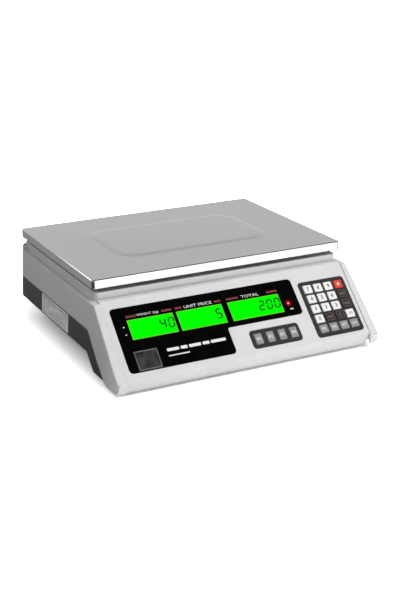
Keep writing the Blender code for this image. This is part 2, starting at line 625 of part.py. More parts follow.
def make_lower_case():
    """Dark moulding: side bands, lifting shelves, deep middle, bosses and foot nuts."""
    joint_z = PARTING_HEIGHT - GAP
    back = GAP / sin(PANEL_SLOPE)
    shelf_y = shelf_front()
    nose_rear = strip_y(NOSE_HEIGHT) + NOSE_STRIP
    side = rounded([
        (HALF_DEPTH, joint_z, 0), (strip_y(joint_z) + back, joint_z, SIDE_CORNERS[0] - GAP),
        (strip_y(NOSE_HEIGHT) + back, NOSE_HEIGHT, 0),
        (nose_rear, NOSE_HEIGHT, SIDE_CORNERS[1]), (shelf_y, SHELF_HEIGHT, SIDE_CORNERS[1]),
        (HALF_DEPTH, SHELF_HEIGHT, 0)])
    case = prism("lower_case", side, -HALF_WIDTH, HALF_WIDTH, SIDEWAYS, DARK_ABS)
    keep_inside(case, plan("lower_case_plan", 0, -PAST, HOUSING_WIDTH))
    join(case, prism("tub", rectangle(-TUB_HALF_WIDTH, TUB_HALF_WIDTH, tub_front(), TUB_REAR, TUB_CORNER),
                     TUB_HEIGHT, SHELF_FLOOR + TUB_LAP))
    nose_front = PANEL_FOOT_Y + LIP_UNDERCUT + NOSE_BEHIND_LIP
    nose_x = PANEL_HALF - NOSE_SIDE_INSET
    nose_back = strip_y(NOSE_HEIGHT) + NOSE_LAP[0]
    join(case, block("nose", (-nose_x, nose_front, NOSE_HEIGHT),
                     (nose_x, nose_back, NOSE_HEIGHT + NOSE_LAP[1])))

    wall = CASE_WALL
    before, above = strip_y(NOSE_HEIGHT) - PAST, PARTING_HEIGHT + 2 * PAST
    corner_wall = 0.4 * wall
    hollow = prism("lower_hollow", [
        (HALF_DEPTH - wall, above), (before, above), (before, NOSE_HEIGHT + wall),
        (nose_rear - corner_wall, NOSE_HEIGHT + wall), (shelf_y - corner_wall, SHELF_FLOOR),
        (HALF_DEPTH - wall, SHELF_FLOOR)],
        -HALF_WIDTH + wall, HALF_WIDTH - wall, SIDEWAYS)
    keep_inside(hollow, plan("lower_hollow_plan", wall, -2 * PAST, HOUSING_WIDTH))
    tub_x = TUB_HALF_WIDTH - wall
    join(hollow, prism("tub_hollow", rectangle(-tub_x, tub_x, tub_front() + wall, TUB_REAR - wall,
                                                TUB_CORNER - wall),
                       TUB_FLOOR, SHELF_FLOOR + 2 * PAST))
    join(hollow, block("nose_hollow", (-nose_x + wall, nose_front + wall, NOSE_HEIGHT + wall),
                       (nose_x - wall, nose_back + TUB_FRONT_STEP, NOSE_HEIGHT + 3 * PAST)))
    cut(case, hollow)

    feet = foot_places()
    boss_top = TUB_FLOOR + NUT_BOSS[1]
    join(case, rods("foot_nuts", feet, NUT_BOSS[0], TUB_HEIGHT + corner_wall, boss_top, sides=16))
    cut(case, rods("foot_holes", feet, STUD_RADIUS + STUD_CLEARANCE, 0, boss_top + PAST, sides=16))
    board_x, board_y = main_board_place()
    half_x, half_y = MAIN_BOARD[0] / 2 - BOSS_INSET, MAIN_BOARD[1] / 2 - BOSS_INSET
    corners = [(board_x + i * half_x, board_y + j * half_y) for i in (-1, 1) for j in (-1, 1)]
    join(case, rods("board_bosses", corners, BOSS_RADIUS, TUB_HEIGHT + corner_wall,
                    TUB_FLOOR + MAIN_BOARD_RISE - GAP, sides=12))

    # seats and holes for what is let into the case
    switch_x, switch_y = switch_place()
    switch_hole = block("switch_hole",
                        (switch_x - SWITCH_BODY[0] / 2 - GAP, switch_y - SWITCH_BODY[1] / 2 - GAP,
                         SHELF_HEIGHT - PAST),
                        (switch_x + SWITCH_BODY[0] / 2 + GAP, switch_y + SWITCH_BODY[1] / 2 + GAP,
                         SHELF_HEIGHT + PAST))
    front, rear, low, high = label_edges()
    label_seat = lean(block("label_seat", (-HALF_WIDTH - PAST, front - GAP, low - GAP),
                            (-HALF_WIDTH + LABEL_THICKNESS + GAP, rear + GAP, high + GAP)))
    cut(case, *inlet_cutters("lower_inlet"), switch_hole, label_seat)
    return case


def make_fascia():
    """Sloping front panel: folded back over the ledge, turned under at its lip, with seats."""
    crest = SHOULDER_HEIGHT + CREST_RISE
    rear = Vector((SHOULDER_Y + PLINTH_FRONT_STEP - CREST_SLIT, crest))
    fold = Vector((SHOULDER_Y + CREST_RISE / tan(PANEL_SLOPE), crest))
    foot = Vector((PANEL_FOOT_Y, PANEL_FOOT_HEIGHT))
    bottom = Vector((PANEL_FOOT_Y + LIP_UNDERCUT, LIP_BOTTOM))
    face = [rear, fold, foot, bottom]
    back = beside_path(face, FASCIA_THICKNESS)
    fascia = prism("front_fascia", face + back[::-1], -PANEL_HALF + GAP, PANEL_HALF - GAP, SIDEWAYS, LIGHT_ABS)

    seat = -DISPLAY_THICKNESS - GAP
    cut(fascia, prism("display_seat", display_outline(GAP), seat, PAST, PANEL),
        prism("number_seat", frame_outline(GAP), -FRAME_THICKNESS + FRAME_PROUD - GAP, PAST, PANEL),
        prism("memory_seat", memory_outline(GAP), -FRAME_THICKNESS + FRAME_PROUD - GAP, PAST, PANEL))
    edges = lcd_edges()
    room, deep = LCD_WELL_ROOM, 2 * PAST
    wells = [((edges[0][0] - room, -LCD_TOP - LCD_HEIGHT - room, -deep),
              (edges[2][1] + room, -LCD_TOP + room, deep))]
    left, bottom, right, top = level_edges()
    wells.append(((left - GAP, bottom - GAP, -deep), (right + GAP, top + GAP, deep)))
    room = KEY_FLANGE[0] + 2 * KEY_CLEARANCE
    wells.append(((FRAME_LEFT + FRAME_MARGIN - room, -FRAME_TOP - FRAME_SIZE[1] + FRAME_MARGIN - room, -deep),
                  (FRAME_LEFT + FRAME_SIZE[0] - FRAME_MARGIN + room, -FRAME_TOP - FRAME_MARGIN + room, deep)))
    wells.append(((MEMORY_LEFT + MEMORY_MARGIN[0] - room,
                   -MEMORY_TOP - MEMORY_FRAME[1] + MEMORY_MARGIN[1] - room, -deep),
                  (MEMORY_LEFT + MEMORY_FRAME[0] - MEMORY_MARGIN[0] + room,
                   -MEMORY_TOP - MEMORY_MARGIN[1] + room, deep)))
    cut(fascia, blocks("fascia_wells", wells, PANEL),
        rods("lamp_hole", [lamp_place()], LAMP_RADIUS + GAP, -deep, deep, place=PANEL, sides=12))
    return fascia


# ---------------------------------------------------------------- on the panel

def display_outline(spare=0.0):
    """L-shaped black panel: long on the left, short over the memory keys."""
    left, right = DISPLAY_LEFT - spare, DISPLAY_RIGHT + spare
    top, bottom = -DISPLAY_TOP + spare, -DISPLAY_BOTTOM - spare
    step = -DISPLAY_STEP - spare
    notch = DISPLAY_NOTCH + spare
    r = DISPLAY_CORNER + spare
    return rounded([(left, bottom, r), (notch, bottom, r), (notch, step, NOTCH_RADIUS - spare), (right, step, r),
                    (right, top, r), (left, top, r)])


def frame_outline(spare=0.0):
    return rectangle(FRAME_LEFT - spare, FRAME_LEFT + FRAME_SIZE[0] + spare,
                     -FRAME_TOP - FRAME_SIZE[1] - spare, -FRAME_TOP + spare, FRAME_CORNER + spare)


def memory_outline(spare=0.0):
    return rectangle(MEMORY_LEFT - spare, MEMORY_LEFT + MEMORY_FRAME[0] + spare,
                     -MEMORY_TOP - MEMORY_FRAME[1] - spare, -MEMORY_TOP + spare, FRAME_CORNER + spare)


def lamp_place():
    return (DISPLAY_RIGHT - LAMP_INSET, -LAMP_DOWN)


def level_edges():
    """Left, bottom, right and top of the level window, on the panel."""
    left = DISPLAY_LEFT + LEVEL_LEFT
    bottom = -DISPLAY_BOTTOM + LEVEL_BOTTOM
    return left, bottom, left + LEVEL_SIZE[0], bottom + LEVEL_SIZE[1]


def make_display():
    """Black acrylic panel, its three display modules on their board, and the lamp."""
    panel = prism("display_window", display_outline(), -DISPLAY_THICKNESS, 0, PANEL, BLACK_ACRYLIC)
    low, high = -LCD_TOP - LCD_HEIGHT, -LCD_TOP
    windows = [((a - GAP, low - GAP, -PAST), (b + GAP, high + GAP, PAST)) for a, b in lcd_edges()]
    left, bottom, right, top = level_edges()
    windows.append(((left - GAP, bottom - GAP, -PAST), (right + GAP, top + GAP, PAST)))
    cut(panel, blocks("display_holes", windows, PANEL),
        rods("lamp_window", [lamp_place()], LAMP_RADIUS + GAP, -PAST, PAST, place=PANEL, sides=12))
    for name, (a, b) in zip(("lcd_weight", "lcd_unit_price", "lcd_total"), lcd_edges()):
        block(name, (a, low, -LCD_RECESS - LCD_DEPTH), (b, high, -LCD_RECESS), GREEN_LCD, PANEL)
    edges = lcd_edges()
    board_top = -LCD_RECESS - LCD_DEPTH - GAP
    lamp = lamp_place()
    block("display_board", (edges[0][0] - DISPLAY_BOARD_BORDER, low - DISPLAY_BOARD_BORDER, board_top - BOARD),
          (lamp[0] + DISPLAY_BOARD_BORDER, high + DISPLAY_BOARD_BORDER, board_top), GREEN_BOARD, PANEL)
    shade(rods("indicator_lamp", [lamp], LAMP_RADIUS, board_top + GAP, LAMP_PROUD, RED_LENS, 12, PANEL))


def make_level():
    """Smoked window over a round spirit level."""
    left, bottom, right, top = level_edges()
    window = block("level_window", (left, bottom, -FASCIA_THICKNESS), (right, top, LEVEL_PROUD), SMOKED, PANEL)
    soften(window, LEVEL_EDGE, 1)
    middle = PANEL @ Vector(((left + right) / 2, (bottom + top) / 2, -FASCIA_THICKNESS))
    top_z = middle.z - VIAL_RADIUS * tan(PANEL_SLOPE) - VIAL_PLACE[1]
    y = middle.y + VIAL_PLACE[0]
    shade(rods("spirit_level", [(middle.x, y)], VIAL_RADIUS, top_z - VIAL_HEIGHT, top_z, LEVEL_GREEN, 24))


def key_cap(name, size, places, names, finishes):
    """Keys that share one cap: a soft-edged block on a retaining flange."""
    half_x, half_y = size[0] / 2, size[1] / 2
    cap = block(name, (-half_x, -half_y, -KEY_STEM), (half_x, half_y, KEY_PROUD), KEY_WHITE)
    soften(cap, KEY_EDGE, 2)
    out, thick = KEY_FLANGE
    flange_top = -FASCIA_THICKNESS + FLANGE_ABOVE_BACK
    flange_top = min(flange_top, -FRAME_THICKNESS + FRAME_PROUD - KEY_CLEARANCE)
    flange = block(name + "_flange", (-half_x - out, -half_y - out, flange_top - thick),
                   (half_x + out, half_y + out, flange_top))
    join(cap, flange)
    mesh = settle(cap)
    for place, key, finish in zip(places, names, finishes):
        copy = mesh.copy()
        part = add(key, copy, finish)
        part.matrix_world = PANEL @ Matrix.Translation((*place, 0))
        shade(part)
    bpy.data.objects.remove(cap)


def make_keys():
    """Frames, push keys and the board behind them."""
    number = prism("number_key_frame", frame_outline(), -FRAME_THICKNESS + FRAME_PROUD, FRAME_PROUD, PANEL,
                   KEYPAD_BLACK)
    memory = prism("memory_key_frame", memory_outline(), -FRAME_THICKNESS + FRAME_PROUD, FRAME_PROUD, PANEL,
                   KEYPAD_BLACK)
    places = []
    for row in range(KEY_ROWS):
        for column in range(KEY_COLUMNS):
            places.append((FRAME_LEFT + FRAME_MARGIN + KEY_SIZE[0] / 2 + column * KEY_PITCH[0],
                           -FRAME_TOP - FRAME_MARGIN - KEY_SIZE[1] / 2 - row * KEY_PITCH[1]))
    names = ("key_7", "key_8", "key_9", "key_light",
             "key_4", "key_5", "key_6", "key_zero_set",
             "key_1", "key_2", "key_3", "key_tare",
             "key_0", "key_add", "key_clear", "key_point",
             "key_m5", "key_m6", "key_m7", "key_save")
    finishes = [KEY_WHITE] * 3 + [KEY_RED] + [KEY_WHITE] * 3 + [KEY_BLACK] + [KEY_WHITE] * 3 + [KEY_BLACK]
    finishes += [KEY_WHITE, KEY_BLACK, KEY_BLACK, KEY_WHITE] + [KEY_GREY] * 4
    cut(number, blocks("number_key_holes", key_holes(places, KEY_SIZE), PANEL))
    key_cap("number_key", KEY_SIZE, places, names, finishes)

    memory_y = -MEMORY_TOP - MEMORY_FRAME[1] / 2
    first = MEMORY_LEFT + MEMORY_MARGIN[0] + MEMORY_KEY_SIZE[0] / 2
    memory_places = [(first + i * MEMORY_KEY_PITCH, memory_y) for i in range(MEMORY_KEYS)]
    memory_names = [f"key_m{i + 1}" for i in range(MEMORY_KEYS)]
    cut(memory, blocks("memory_key_holes", key_holes(memory_places, MEMORY_KEY_SIZE), PANEL))
    key_cap("memory_key", MEMORY_KEY_SIZE, memory_places, memory_names, [KEY_GREY] * MEMORY_KEYS)

    board_top = -KEY_STEM - KEY_TRAVEL - GAP
    border = KEY_BOARD_BORDER
    left, inner = MEMORY_LEFT + border, FRAME_LEFT + border
    right, low = PANEL_HALF - FRAME_RIGHT_MARGIN - border, -FRAME_TOP - FRAME_SIZE[1] + border
    outline = [(left, low), (right, low), (right, -FRAME_TOP - border), (inner, -FRAME_TOP - border),
               (inner, -MEMORY_TOP - border), (left, -MEMORY_TOP - border)]
    prism("keypad_board", outline, board_top - BOARD, board_top, PANEL, GREEN_BOARD)


def key_holes(places, size):
    half_x, half_y = size[0] / 2 + KEY_CLEARANCE, size[1] / 2 + KEY_CLEARANCE
    return [((x - half_x, y - half_y, -PAST), (x + half_x, y + half_y, PAST)) for x, y in places]


# ---------------------------------------------------------------- weighing gear

def make_tray():
    """Stainless pan: flat top with a raised stiffening field, turned-down skirt."""
    x, low = TRAY_HALF_WIDTH, TRAY_TOP - TRAY_SKIRT
    tray = prism("tray", rectangle(-x, x, TRAY_FRONT, TRAY_REAR, TRAY_CORNER, 6), low, TRAY_TOP, finish=STEEL)
    sheet = TRAY_SHEET
    lap = 0.4 * sheet
    join(tray, pad("raised_field", TRAY_TOP - lap, TRAY_TOP + TRAY_PAD_RISE))
    hollow = prism("tray_hollow", rectangle(-x + sheet, x - sheet, TRAY_FRONT + sheet, TRAY_REAR - sheet,
                                            TRAY_CORNER - sheet, 6), low - PAST, TRAY_TOP - sheet)
    join(hollow, pad("raised_hollow", TRAY_TOP - sheet - lap, TRAY_TOP + TRAY_PAD_RISE - sheet))
    cut(tray, hollow)
    return tray


def pad(name, low, high):
    """The raised field: a low block whose top is smaller than its foot."""
    half_x, half_y = TRAY_PAD
    outline = rectangle(-half_x, half_x, TRAY_CENTRE - half_y, TRAY_CENTRE + half_y, TRAY_PAD_CORNER, 6)
    field = prism(name, outline, low, high)
    for vertex in field.data.vertices:
        if vertex.co.z > (low + high) / 2:
            vertex.co.x *= 1 - TRAY_PAD_SLOPE / half_x
            vertex.co.y = TRAY_CENTRE + (vertex.co.y - TRAY_CENTRE) * (1 - TRAY_PAD_SLOPE / half_y)
    return field


def make_weighing_gear():
    """Load cell, its base plate, and the spider that carries the tray."""
    half = CELL[0] / 2
    front, rear = TRAY_CENTRE - CELL[1] / 2, TRAY_CENTRE + CELL[1] / 2
    cell = block("load_cell", (-half, front, CELL_HEIGHT), (half, rear, CELL_HEIGHT + CELL[2]), ALUMINIUM)
    along = Matrix.Rotation(pi / 2, 4, "Y")
    hole_z = CELL_HEIGHT + CELL[2] / 2
    for name, side in (("cell_hole_front", -1), ("cell_hole_rear", 1)):
        place = Matrix.Translation((0, TRAY_CENTRE + side * CELL_HOLE_SPACING / 2, hole_z)) @ along
        cut(cell, rods(name, [(0, 0)], CELL_HOLE_RADIUS, -half - PAST, half + PAST, sides=20, place=place))

    floor = TUB_FLOOR + GAP
    plate_top = floor + BASE_PLATE[2]
    base_front, base_rear = TRAY_CENTRE - BASE_PLATE[1] / 2, TRAY_CENTRE + BASE_PLATE[1] / 2
    seat_top = CELL_HEIGHT - GAP
    base = [(base_front, floor), (base_rear, floor), (base_rear, plate_top), (rear, plate_top), (rear, seat_top),
            (rear - CELL_END, seat_top), (rear - CELL_END, plate_top), (base_front, plate_top)]
    prism("load_cell_base", base, -BASE_PLATE[0] / 2, BASE_PLATE[0] / 2, SIDEWAYS, ZINC)

    top = SPIDER_BOTTOM + SPIDER_THICKNESS
    reach_x, reach_y = SPIDER_REACH
    reach = hypot(reach_x, reach_y)
    wide, before, behind = SPIDER_HUB
    spider = block("platform_spider", (-wide, POST_Y - before, SPIDER_BOTTOM),
                   (wide, TRAY_CENTRE + behind, top), ZINC)
    lap = 0.04 * SPIDER_THICKNESS
    for name, side in (("arm_rising", 1), ("arm_falling", -1)):
        turn = Matrix.Translation((0, TRAY_CENTRE, 0)) @ Matrix.Rotation(side * atan2(reach_y, reach_x), 4, "Z")
        join(spider, block(name, (-reach, -SPIDER_ARM / 2, SPIDER_BOTTOM + lap),
                           (reach, SPIDER_ARM / 2, top - lap), place=turn))
    ends = [(i * reach_x, TRAY_CENTRE + j * reach_y) for i in (-1, 1) for j in (-1, 1)]
    join(spider, rods("spider_stubs", ends, SPIDER_STUB_RADIUS, top - 5 * lap,
                      TRAY_TOP - TRAY_SHEET - GAP, sides=16))
    join(spider, rods("spider_post", [(0, POST_Y)], SPIDER_POST_RADIUS, CELL_HEIGHT + CELL[2] + GAP,
                      SPIDER_BOTTOM + 10 * lap, sides=20))


# ---------------------------------------------------------------- power

def make_power():
    """Battery with its strap, transformer, main board, mains inlet."""
    floor = TUB_FLOOR + GAP
    half_x, half_y = BATTERY[0] / 2, BATTERY[1] / 2
    x = -FOOT_X + NUT_BOSS[0] + BATTERY_CLEAR[0] + half_x
    y = TUB_REAR - CASE_WALL - BATTERY_CLEAR[1] - STRAP_FOOT - GAP - half_y
    battery = block("battery", (x - half_x, y - half_y, floor), (x + half_x, y + half_y, floor + BATTERY[2]),
                    BATTERY_GREY)
    soften(battery, BATTERY_EDGE, 1)
    near, far, over = y - half_y - GAP, y + half_y + GAP, floor + BATTERY[2] + GAP
    loop = [(near - STRAP_FOOT, floor), (near, floor), (near, over), (far, over), (far, floor),
            (far + STRAP_FOOT, floor)]
    outside = beside_path(loop, STRAP_THICKNESS)
    prism("battery_strap", loop[::-1] + outside, x - STRAP_WIDTH / 2, x + STRAP_WIDTH / 2, SIDEWAYS, ZINC)

    x, y = transformer_place()
    core = block("transformer", (x - CORE[0] / 2, y - CORE[1] / 2, floor),
                 (x + CORE[0] / 2, y + CORE[1] / 2, floor + CORE[2]), DARK_STEEL)
    mid = floor + CORE[2] / 2
    join(core, block("winding", (x - WINDING[0] / 2, y - WINDING[1] / 2, mid - WINDING[2] / 2),
                     (x + WINDING[0] / 2, y + WINDING[1] / 2, mid + WINDING[2] / 2)))

    x, y = main_board_place()
    board_z = TUB_FLOOR + MAIN_BOARD_RISE
    block("main_board", (x - MAIN_BOARD[0] / 2, y - MAIN_BOARD[1] / 2, board_z),
          (x + MAIN_BOARD[0] / 2, y + MAIN_BOARD[1] / 2, board_z + BOARD), GREEN_BOARD)

    middle, z = inlet_place()
    face = HALF_DEPTH
    wide, high = INLET_FLANGE[0] / 2, INLET_FLANGE[1] / 2
    inlet = block("power_inlet", (middle - wide, face - INLET_FLANGE_THICKNESS, z - high),
                  (middle + wide, face, z + high), BLACK_NYLON)
    wide, high = INLET_SOCKET[0] / 2, INLET_SOCKET[1] / 2
    rim = INLET_WALL
    join(inlet, block("inlet_shell", (middle - wide - rim, face - INLET_DEPTH - rim, z - high - rim),
                      (middle + wide + rim, face - GAP, z + high + rim)))
    cut(inlet, block("inlet_socket", (middle - wide, face - INLET_DEPTH, z - high),
                     (middle + wide, face + PAST, z + high)))
    pin_x, pin_y, pin_z = INLET_PIN
    pins = []
    for dx, dz in INLET_PINS:
        pins.append(((middle + dx - pin_x / 2, face - INLET_DEPTH - GAP, z + dz - pin_z / 2),
                     (middle + dx + pin_x / 2, face - INLET_DEPTH + pin_y, z + dz + pin_z / 2)))
    join(inlet, blocks("inlet_pins", pins))


def make_rear_display():
    """Customer's window in the back, with its display module."""
    top = HOOD_HEIGHT - REAR_WINDOW_BELOW_HOOD
    half = REAR_WINDOW[0] / 2
    block("rear_window", (-half, HALF_DEPTH - REAR_WINDOW_THICKNESS, top - REAR_WINDOW[1]), (half, HALF_DEPTH, top),
          BLACK_ACRYLIC)
    middle = top - REAR_WINDOW[1] / 2
    behind = HALF_DEPTH - REAR_WINDOW_THICKNESS - GAP
    block("rear_lcd", (-REAR_LCD[0] / 2, behind - REAR_LCD_DEPTH, middle - REAR_LCD[1] / 2),
          (REAR_LCD[0] / 2, behind, middle + REAR_LCD[1] / 2), GREEN_LCD)


def switch_place():
    return HALF_WIDTH - SWITCH_SIDE_INSET, shelf_front() + SWITCH_BEHIND_SHELF


def make_switch():
    """Rocker switch: a framed pocket under the right-hand shelf, and the rocker in it."""
    x, y = switch_place()
    under = SHELF_HEIGHT - GAP
    bottom = under - SWITCH_FLANGE[2]
    frame = block("switch_frame", (x - SWITCH_FLANGE[0] / 2, y - SWITCH_FLANGE[1] / 2, bottom),
                  (x + SWITCH_FLANGE[0] / 2, y + SWITCH_FLANGE[1] / 2, under), BLACK_NYLON)
    join(frame, block("switch_body", (x - SWITCH_BODY[0] / 2, y - SWITCH_BODY[1] / 2, bottom + GAP),
                      (x + SWITCH_BODY[0] / 2, y + SWITCH_BODY[1] / 2, bottom + SWITCH_BODY[2])))
    cut(frame, block("switch_pocket", (x - SWITCH_POCKET[0] / 2, y - SWITCH_POCKET[1] / 2, bottom - PAST),
                     (x + SWITCH_POCKET[0] / 2, y + SWITCH_POCKET[1] / 2, bottom + SWITCH_POCKET[2])))
    half = ROCKER_HALF_LENGTH
    drop = ROCKER_PIVOT_RISE
    low, high = ROCKER_TOP
    outline = [(-half, -drop - ROCKER_V), (0, -drop), (half, -drop - ROCKER_V), (half, low), (half / 2, high),
               (-half / 2, high), (-half, low)]
    rocker = prism("power_rocker", outline, -ROCKER_WIDTH / 2, ROCKER_WIDTH / 2, SIDEWAYS, KEY_BLACK)
    pivot = Matrix.Translation((x, y, bottom + ROCKER_PIVOT_RISE))
    rocker.matrix_world = pivot @ Matrix.Rotation(ROCKER_ANGLE, 4, "X")


# ---------------------------------------------------------------- feet and label

def foot_places():
    front, rear = -HALF_DEPTH + FOOT_FRONT, HALF_DEPTH - FOOT_REAR
    return [(-FOOT_X, front), (FOOT_X, front), (-FOOT_X, rear), (FOOT_X, rear)]


def make_feet():
    """Four feet: a pad that stays put on the counter and a collared stud that turns in it."""
    names = ("front_left", "front_right", "rear_left", "rear_right")
    for name, place in zip(names, foot_places()):
        foot = rods("foot_pad_" + name, [(0, 0)], PAD_RADIUS, 0, PAD_THICKNESS, RUBBER)
        soften(foot, PAD_EDGE, 2)
        foot.location = (*place, 0)
        shade(foot)
        low = PAD_THICKNESS + GAP
        stud = rods("foot_stud_" + name, [(0, 0)], STUD_RADIUS, low, STUD_TOP, ZINC, 16)
        collar = rods("collar_" + name, [place], COLLAR_RADIUS, low, low + COLLAR_THICKNESS, sides=6)
        stud.location = (*place, 0)
        join(stud, collar)


def label_edges():
    """Front, rear, bottom and top edge of the rating label."""
    rear = HALF_DEPTH - LABEL_REAR
    return rear - LABEL_LENGTH, rear, LABEL_BOTTOM, PARTING_HEIGHT - LABEL_TOP_MARGIN


def make_label():
    front, rear, low, high = label_edges()
    lean(block("rating_label", (-HALF_WIDTH, front, low), (-HALF_WIDTH + LABEL_THICKNESS, rear, high), PAPER))


# ---------------------------------------------------------------- build

clear_scene()
PARTS = collection("price_scale")
CUTTERS = collection("cutters")

LIGHT_ABS = material("light_abs", (0.72, 0.72, 0.71), 0.42)
DARK_ABS = material("dark_abs", (0.055, 0.055, 0.058), 0.5)
STEEL = material("tray_steel", (0.62, 0.62, 0.62), 0.3, 1.0)
BLACK_ACRYLIC = material("black_acrylic", (0.004, 0.004, 0.004), 0.12)
GREEN_LCD = material("green_lcd", (0.0, 0.9, 0.0), 0.35)
RED_LENS = material("red_lens", (0.85, 0.04, 0.04), 0.25)
SMOKED = material("smoked_window", (0.03, 0.03, 0.03), 0.1)
LEVEL_GREEN = material("level_vial", (0.55, 0.75, 0.2), 0.1)
KEYPAD_BLACK = material("keypad_black", (0.022, 0.022, 0.022), 0.45)
KEY_WHITE = material("key_white", (0.85, 0.85, 0.84), 0.4)
KEY_RED = material("key_red", (0.75, 0.06, 0.03), 0.4)
KEY_BLACK = material("key_black", (0.02, 0.02, 0.02), 0.4)
KEY_GREY = material("key_grey", (0.32, 0.32, 0.33), 0.4)
GREEN_BOARD = material("circuit_board", (0.02, 0.18, 0.07), 0.5)
ALUMINIUM = material("aluminium", (0.75, 0.75, 0.76), 0.35, 1.0)
ZINC = material("zinc_plate", (0.6, 0.6, 0.58), 0.4, 1.0)
DARK_STEEL = material("dark_steel", (0.1, 0.1, 0.1), 0.6, 0.6)
BATTERY_GREY = material("battery_case", (0.08, 0.08, 0.09), 0.5)
BLACK_NYLON = material("black_nylon", (0.015, 0.015, 0.015), 0.45)
RUBBER = material("rubber", (0.02, 0.02, 0.02), 0.85)
PAPER = material("label_paper", (0.7, 0.7, 0.7), 0.6)

make_upper_case()
make_lower_case()
make_fascia()
make_display()
make_level()
make_keys()
make_tray()
make_weighing_gear()
make_power()
make_rear_display()
make_switch()
make_feet()
make_label()
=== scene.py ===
"""Looks of a counter price scale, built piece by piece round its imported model.

Metres, +Z up, front towards -Y. Every piece takes its place and size from the model's nodes.
"""
import math

import bmesh
import bpy
import numpy as np
from mathutils import Matrix, Vector


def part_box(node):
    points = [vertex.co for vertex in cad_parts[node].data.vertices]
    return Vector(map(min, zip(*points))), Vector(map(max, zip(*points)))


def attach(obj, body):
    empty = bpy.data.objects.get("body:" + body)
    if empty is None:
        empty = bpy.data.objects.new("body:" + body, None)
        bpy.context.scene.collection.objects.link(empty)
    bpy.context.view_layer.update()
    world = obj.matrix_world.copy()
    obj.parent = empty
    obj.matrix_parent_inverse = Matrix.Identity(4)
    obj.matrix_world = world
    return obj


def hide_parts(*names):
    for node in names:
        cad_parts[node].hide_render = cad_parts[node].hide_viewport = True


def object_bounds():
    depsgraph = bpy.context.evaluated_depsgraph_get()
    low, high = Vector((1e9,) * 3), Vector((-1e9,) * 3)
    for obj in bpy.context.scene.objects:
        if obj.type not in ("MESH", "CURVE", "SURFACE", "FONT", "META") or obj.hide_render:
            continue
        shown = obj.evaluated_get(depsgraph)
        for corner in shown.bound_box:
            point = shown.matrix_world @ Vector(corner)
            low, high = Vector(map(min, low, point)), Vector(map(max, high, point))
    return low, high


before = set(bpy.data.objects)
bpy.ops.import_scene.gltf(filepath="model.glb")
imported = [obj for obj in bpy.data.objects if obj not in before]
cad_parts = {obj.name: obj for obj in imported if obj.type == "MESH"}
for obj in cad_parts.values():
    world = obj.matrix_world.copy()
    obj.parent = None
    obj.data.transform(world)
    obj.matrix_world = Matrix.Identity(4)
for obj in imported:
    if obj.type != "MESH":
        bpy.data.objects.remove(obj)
cad_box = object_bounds()


# ---------------------------------------------------------------- camera
# A long lens on a stand to the left of the middle, looking down on the front left corner.
# The stand's head leans a quarter of a degree.

turn, tip, lean = (math.radians(angle) for angle in (27.175, 19.53, -0.246))
ahead = Vector((math.sin(turn) * math.cos(tip), math.cos(turn) * math.cos(tip), -math.sin(tip)))
level = ahead.cross(Vector((0, 0, 1))).normalized()
upright = level.cross(ahead)
sideways = level * math.cos(lean) + upright * math.sin(lean)
camera = bpy.data.objects.new("camera", bpy.data.cameras.new("camera"))
camera.data.lens = 69.32
camera.data.sensor_width = 36.0
axes = Matrix((sideways, sideways.cross(ahead), -ahead)).transposed()
camera.matrix_world = Matrix.Translation((-0.6146, -1.2204, 0.5238)) @ axes.to_4x4()
bpy.context.collection.objects.link(camera)
bpy.context.scene.camera = camera


# ---------------------------------------------------------------- studio
# A white room: an even pale sky, one large soft lamp high in front, a low one for the lip, and a pale
# floor. The floor carries painted light: away from the case it glows white to the camera, which hides the
# case's cast shadow there, and bounce rays find a brighter painted patch in front that lights the lip.
# Shader maths for the whole script is written with the Wire class.


class Wire:
    """A value or colour on its way through a finish. Arithmetic on it adds Math nodes."""

    def __init__(self, tree, socket=None):
        self.tree = tree
        self.socket = socket

    def node(self, kind, settings=None, sockets=None, out=0):
        """One shader node: its settings first, then values or wires for its sockets."""
        made = self.tree.nodes.new("ShaderNode" + kind)
        for name, value in (settings or {}).items():
            setattr(made, name, value)
        for name, value in (sockets or {}).items():
            if isinstance(value, Wire):
                self.tree.links.new(value.socket, made.inputs[name])
            else:
                made.inputs[name].default_value = value
        return Wire(self.tree, made.outputs[out])

    def maths(self, operation, one, two=0.0):
        return self.node("Math", {"operation": operation}, {0: one, 1: two})

    def __add__(self, other):
        return self.maths("ADD", self, other)

    __radd__ = __add__

    def __sub__(self, other):
        return self.maths("SUBTRACT", self, other)

    def __rsub__(self, other):
        return self.maths("SUBTRACT", other, self)

    def __mul__(self, other):
        return self.maths("MULTIPLY", self, other)

    __rmul__ = __mul__

    def __truediv__(self, other):
        return self.maths("DIVIDE", self, other)

    def __abs__(self):
        return self.maths("ABSOLUTE", self)

    def least(self, other):
        return self.maths("MINIMUM", self, other)

    def most(self, other):
        return self.maths("MAXIMUM", self, other)

    def between(self, low, high):
        """0 below low, 1 above high, smooth in between."""
        return self.node("MapRange", {"interpolation_type": "SMOOTHSTEP"},
                         {"Value": self, "From Min": low, "From Max": high})

    def mix(self, one, two):
        """Colour one where this wire is 0, colour two where it is 1."""
        return self.node("Mix", {"data_type": "RGBA"}, {0: self, 6: one, 7: two}, out=2)


def rgb(red, green, blue):
    return (red, green, blue, 1.0)


def soft_lamp(name, place, target, size, power):
    lamp = bpy.data.objects.new(name, bpy.data.lights.new(name, "AREA"))
    lamp.data.shape = "RECTANGLE"
    lamp.data.size, lamp.data.size_y = size
    lamp.data.energy = power
    lamp.location = place
    lamp.rotation_mode = "QUATERNION"
    lamp.rotation_quaternion = (Vector(target) - Vector(place)).to_track_quat("-Z", "Y")
    bpy.context.collection.objects.link(lamp)
    return lamp


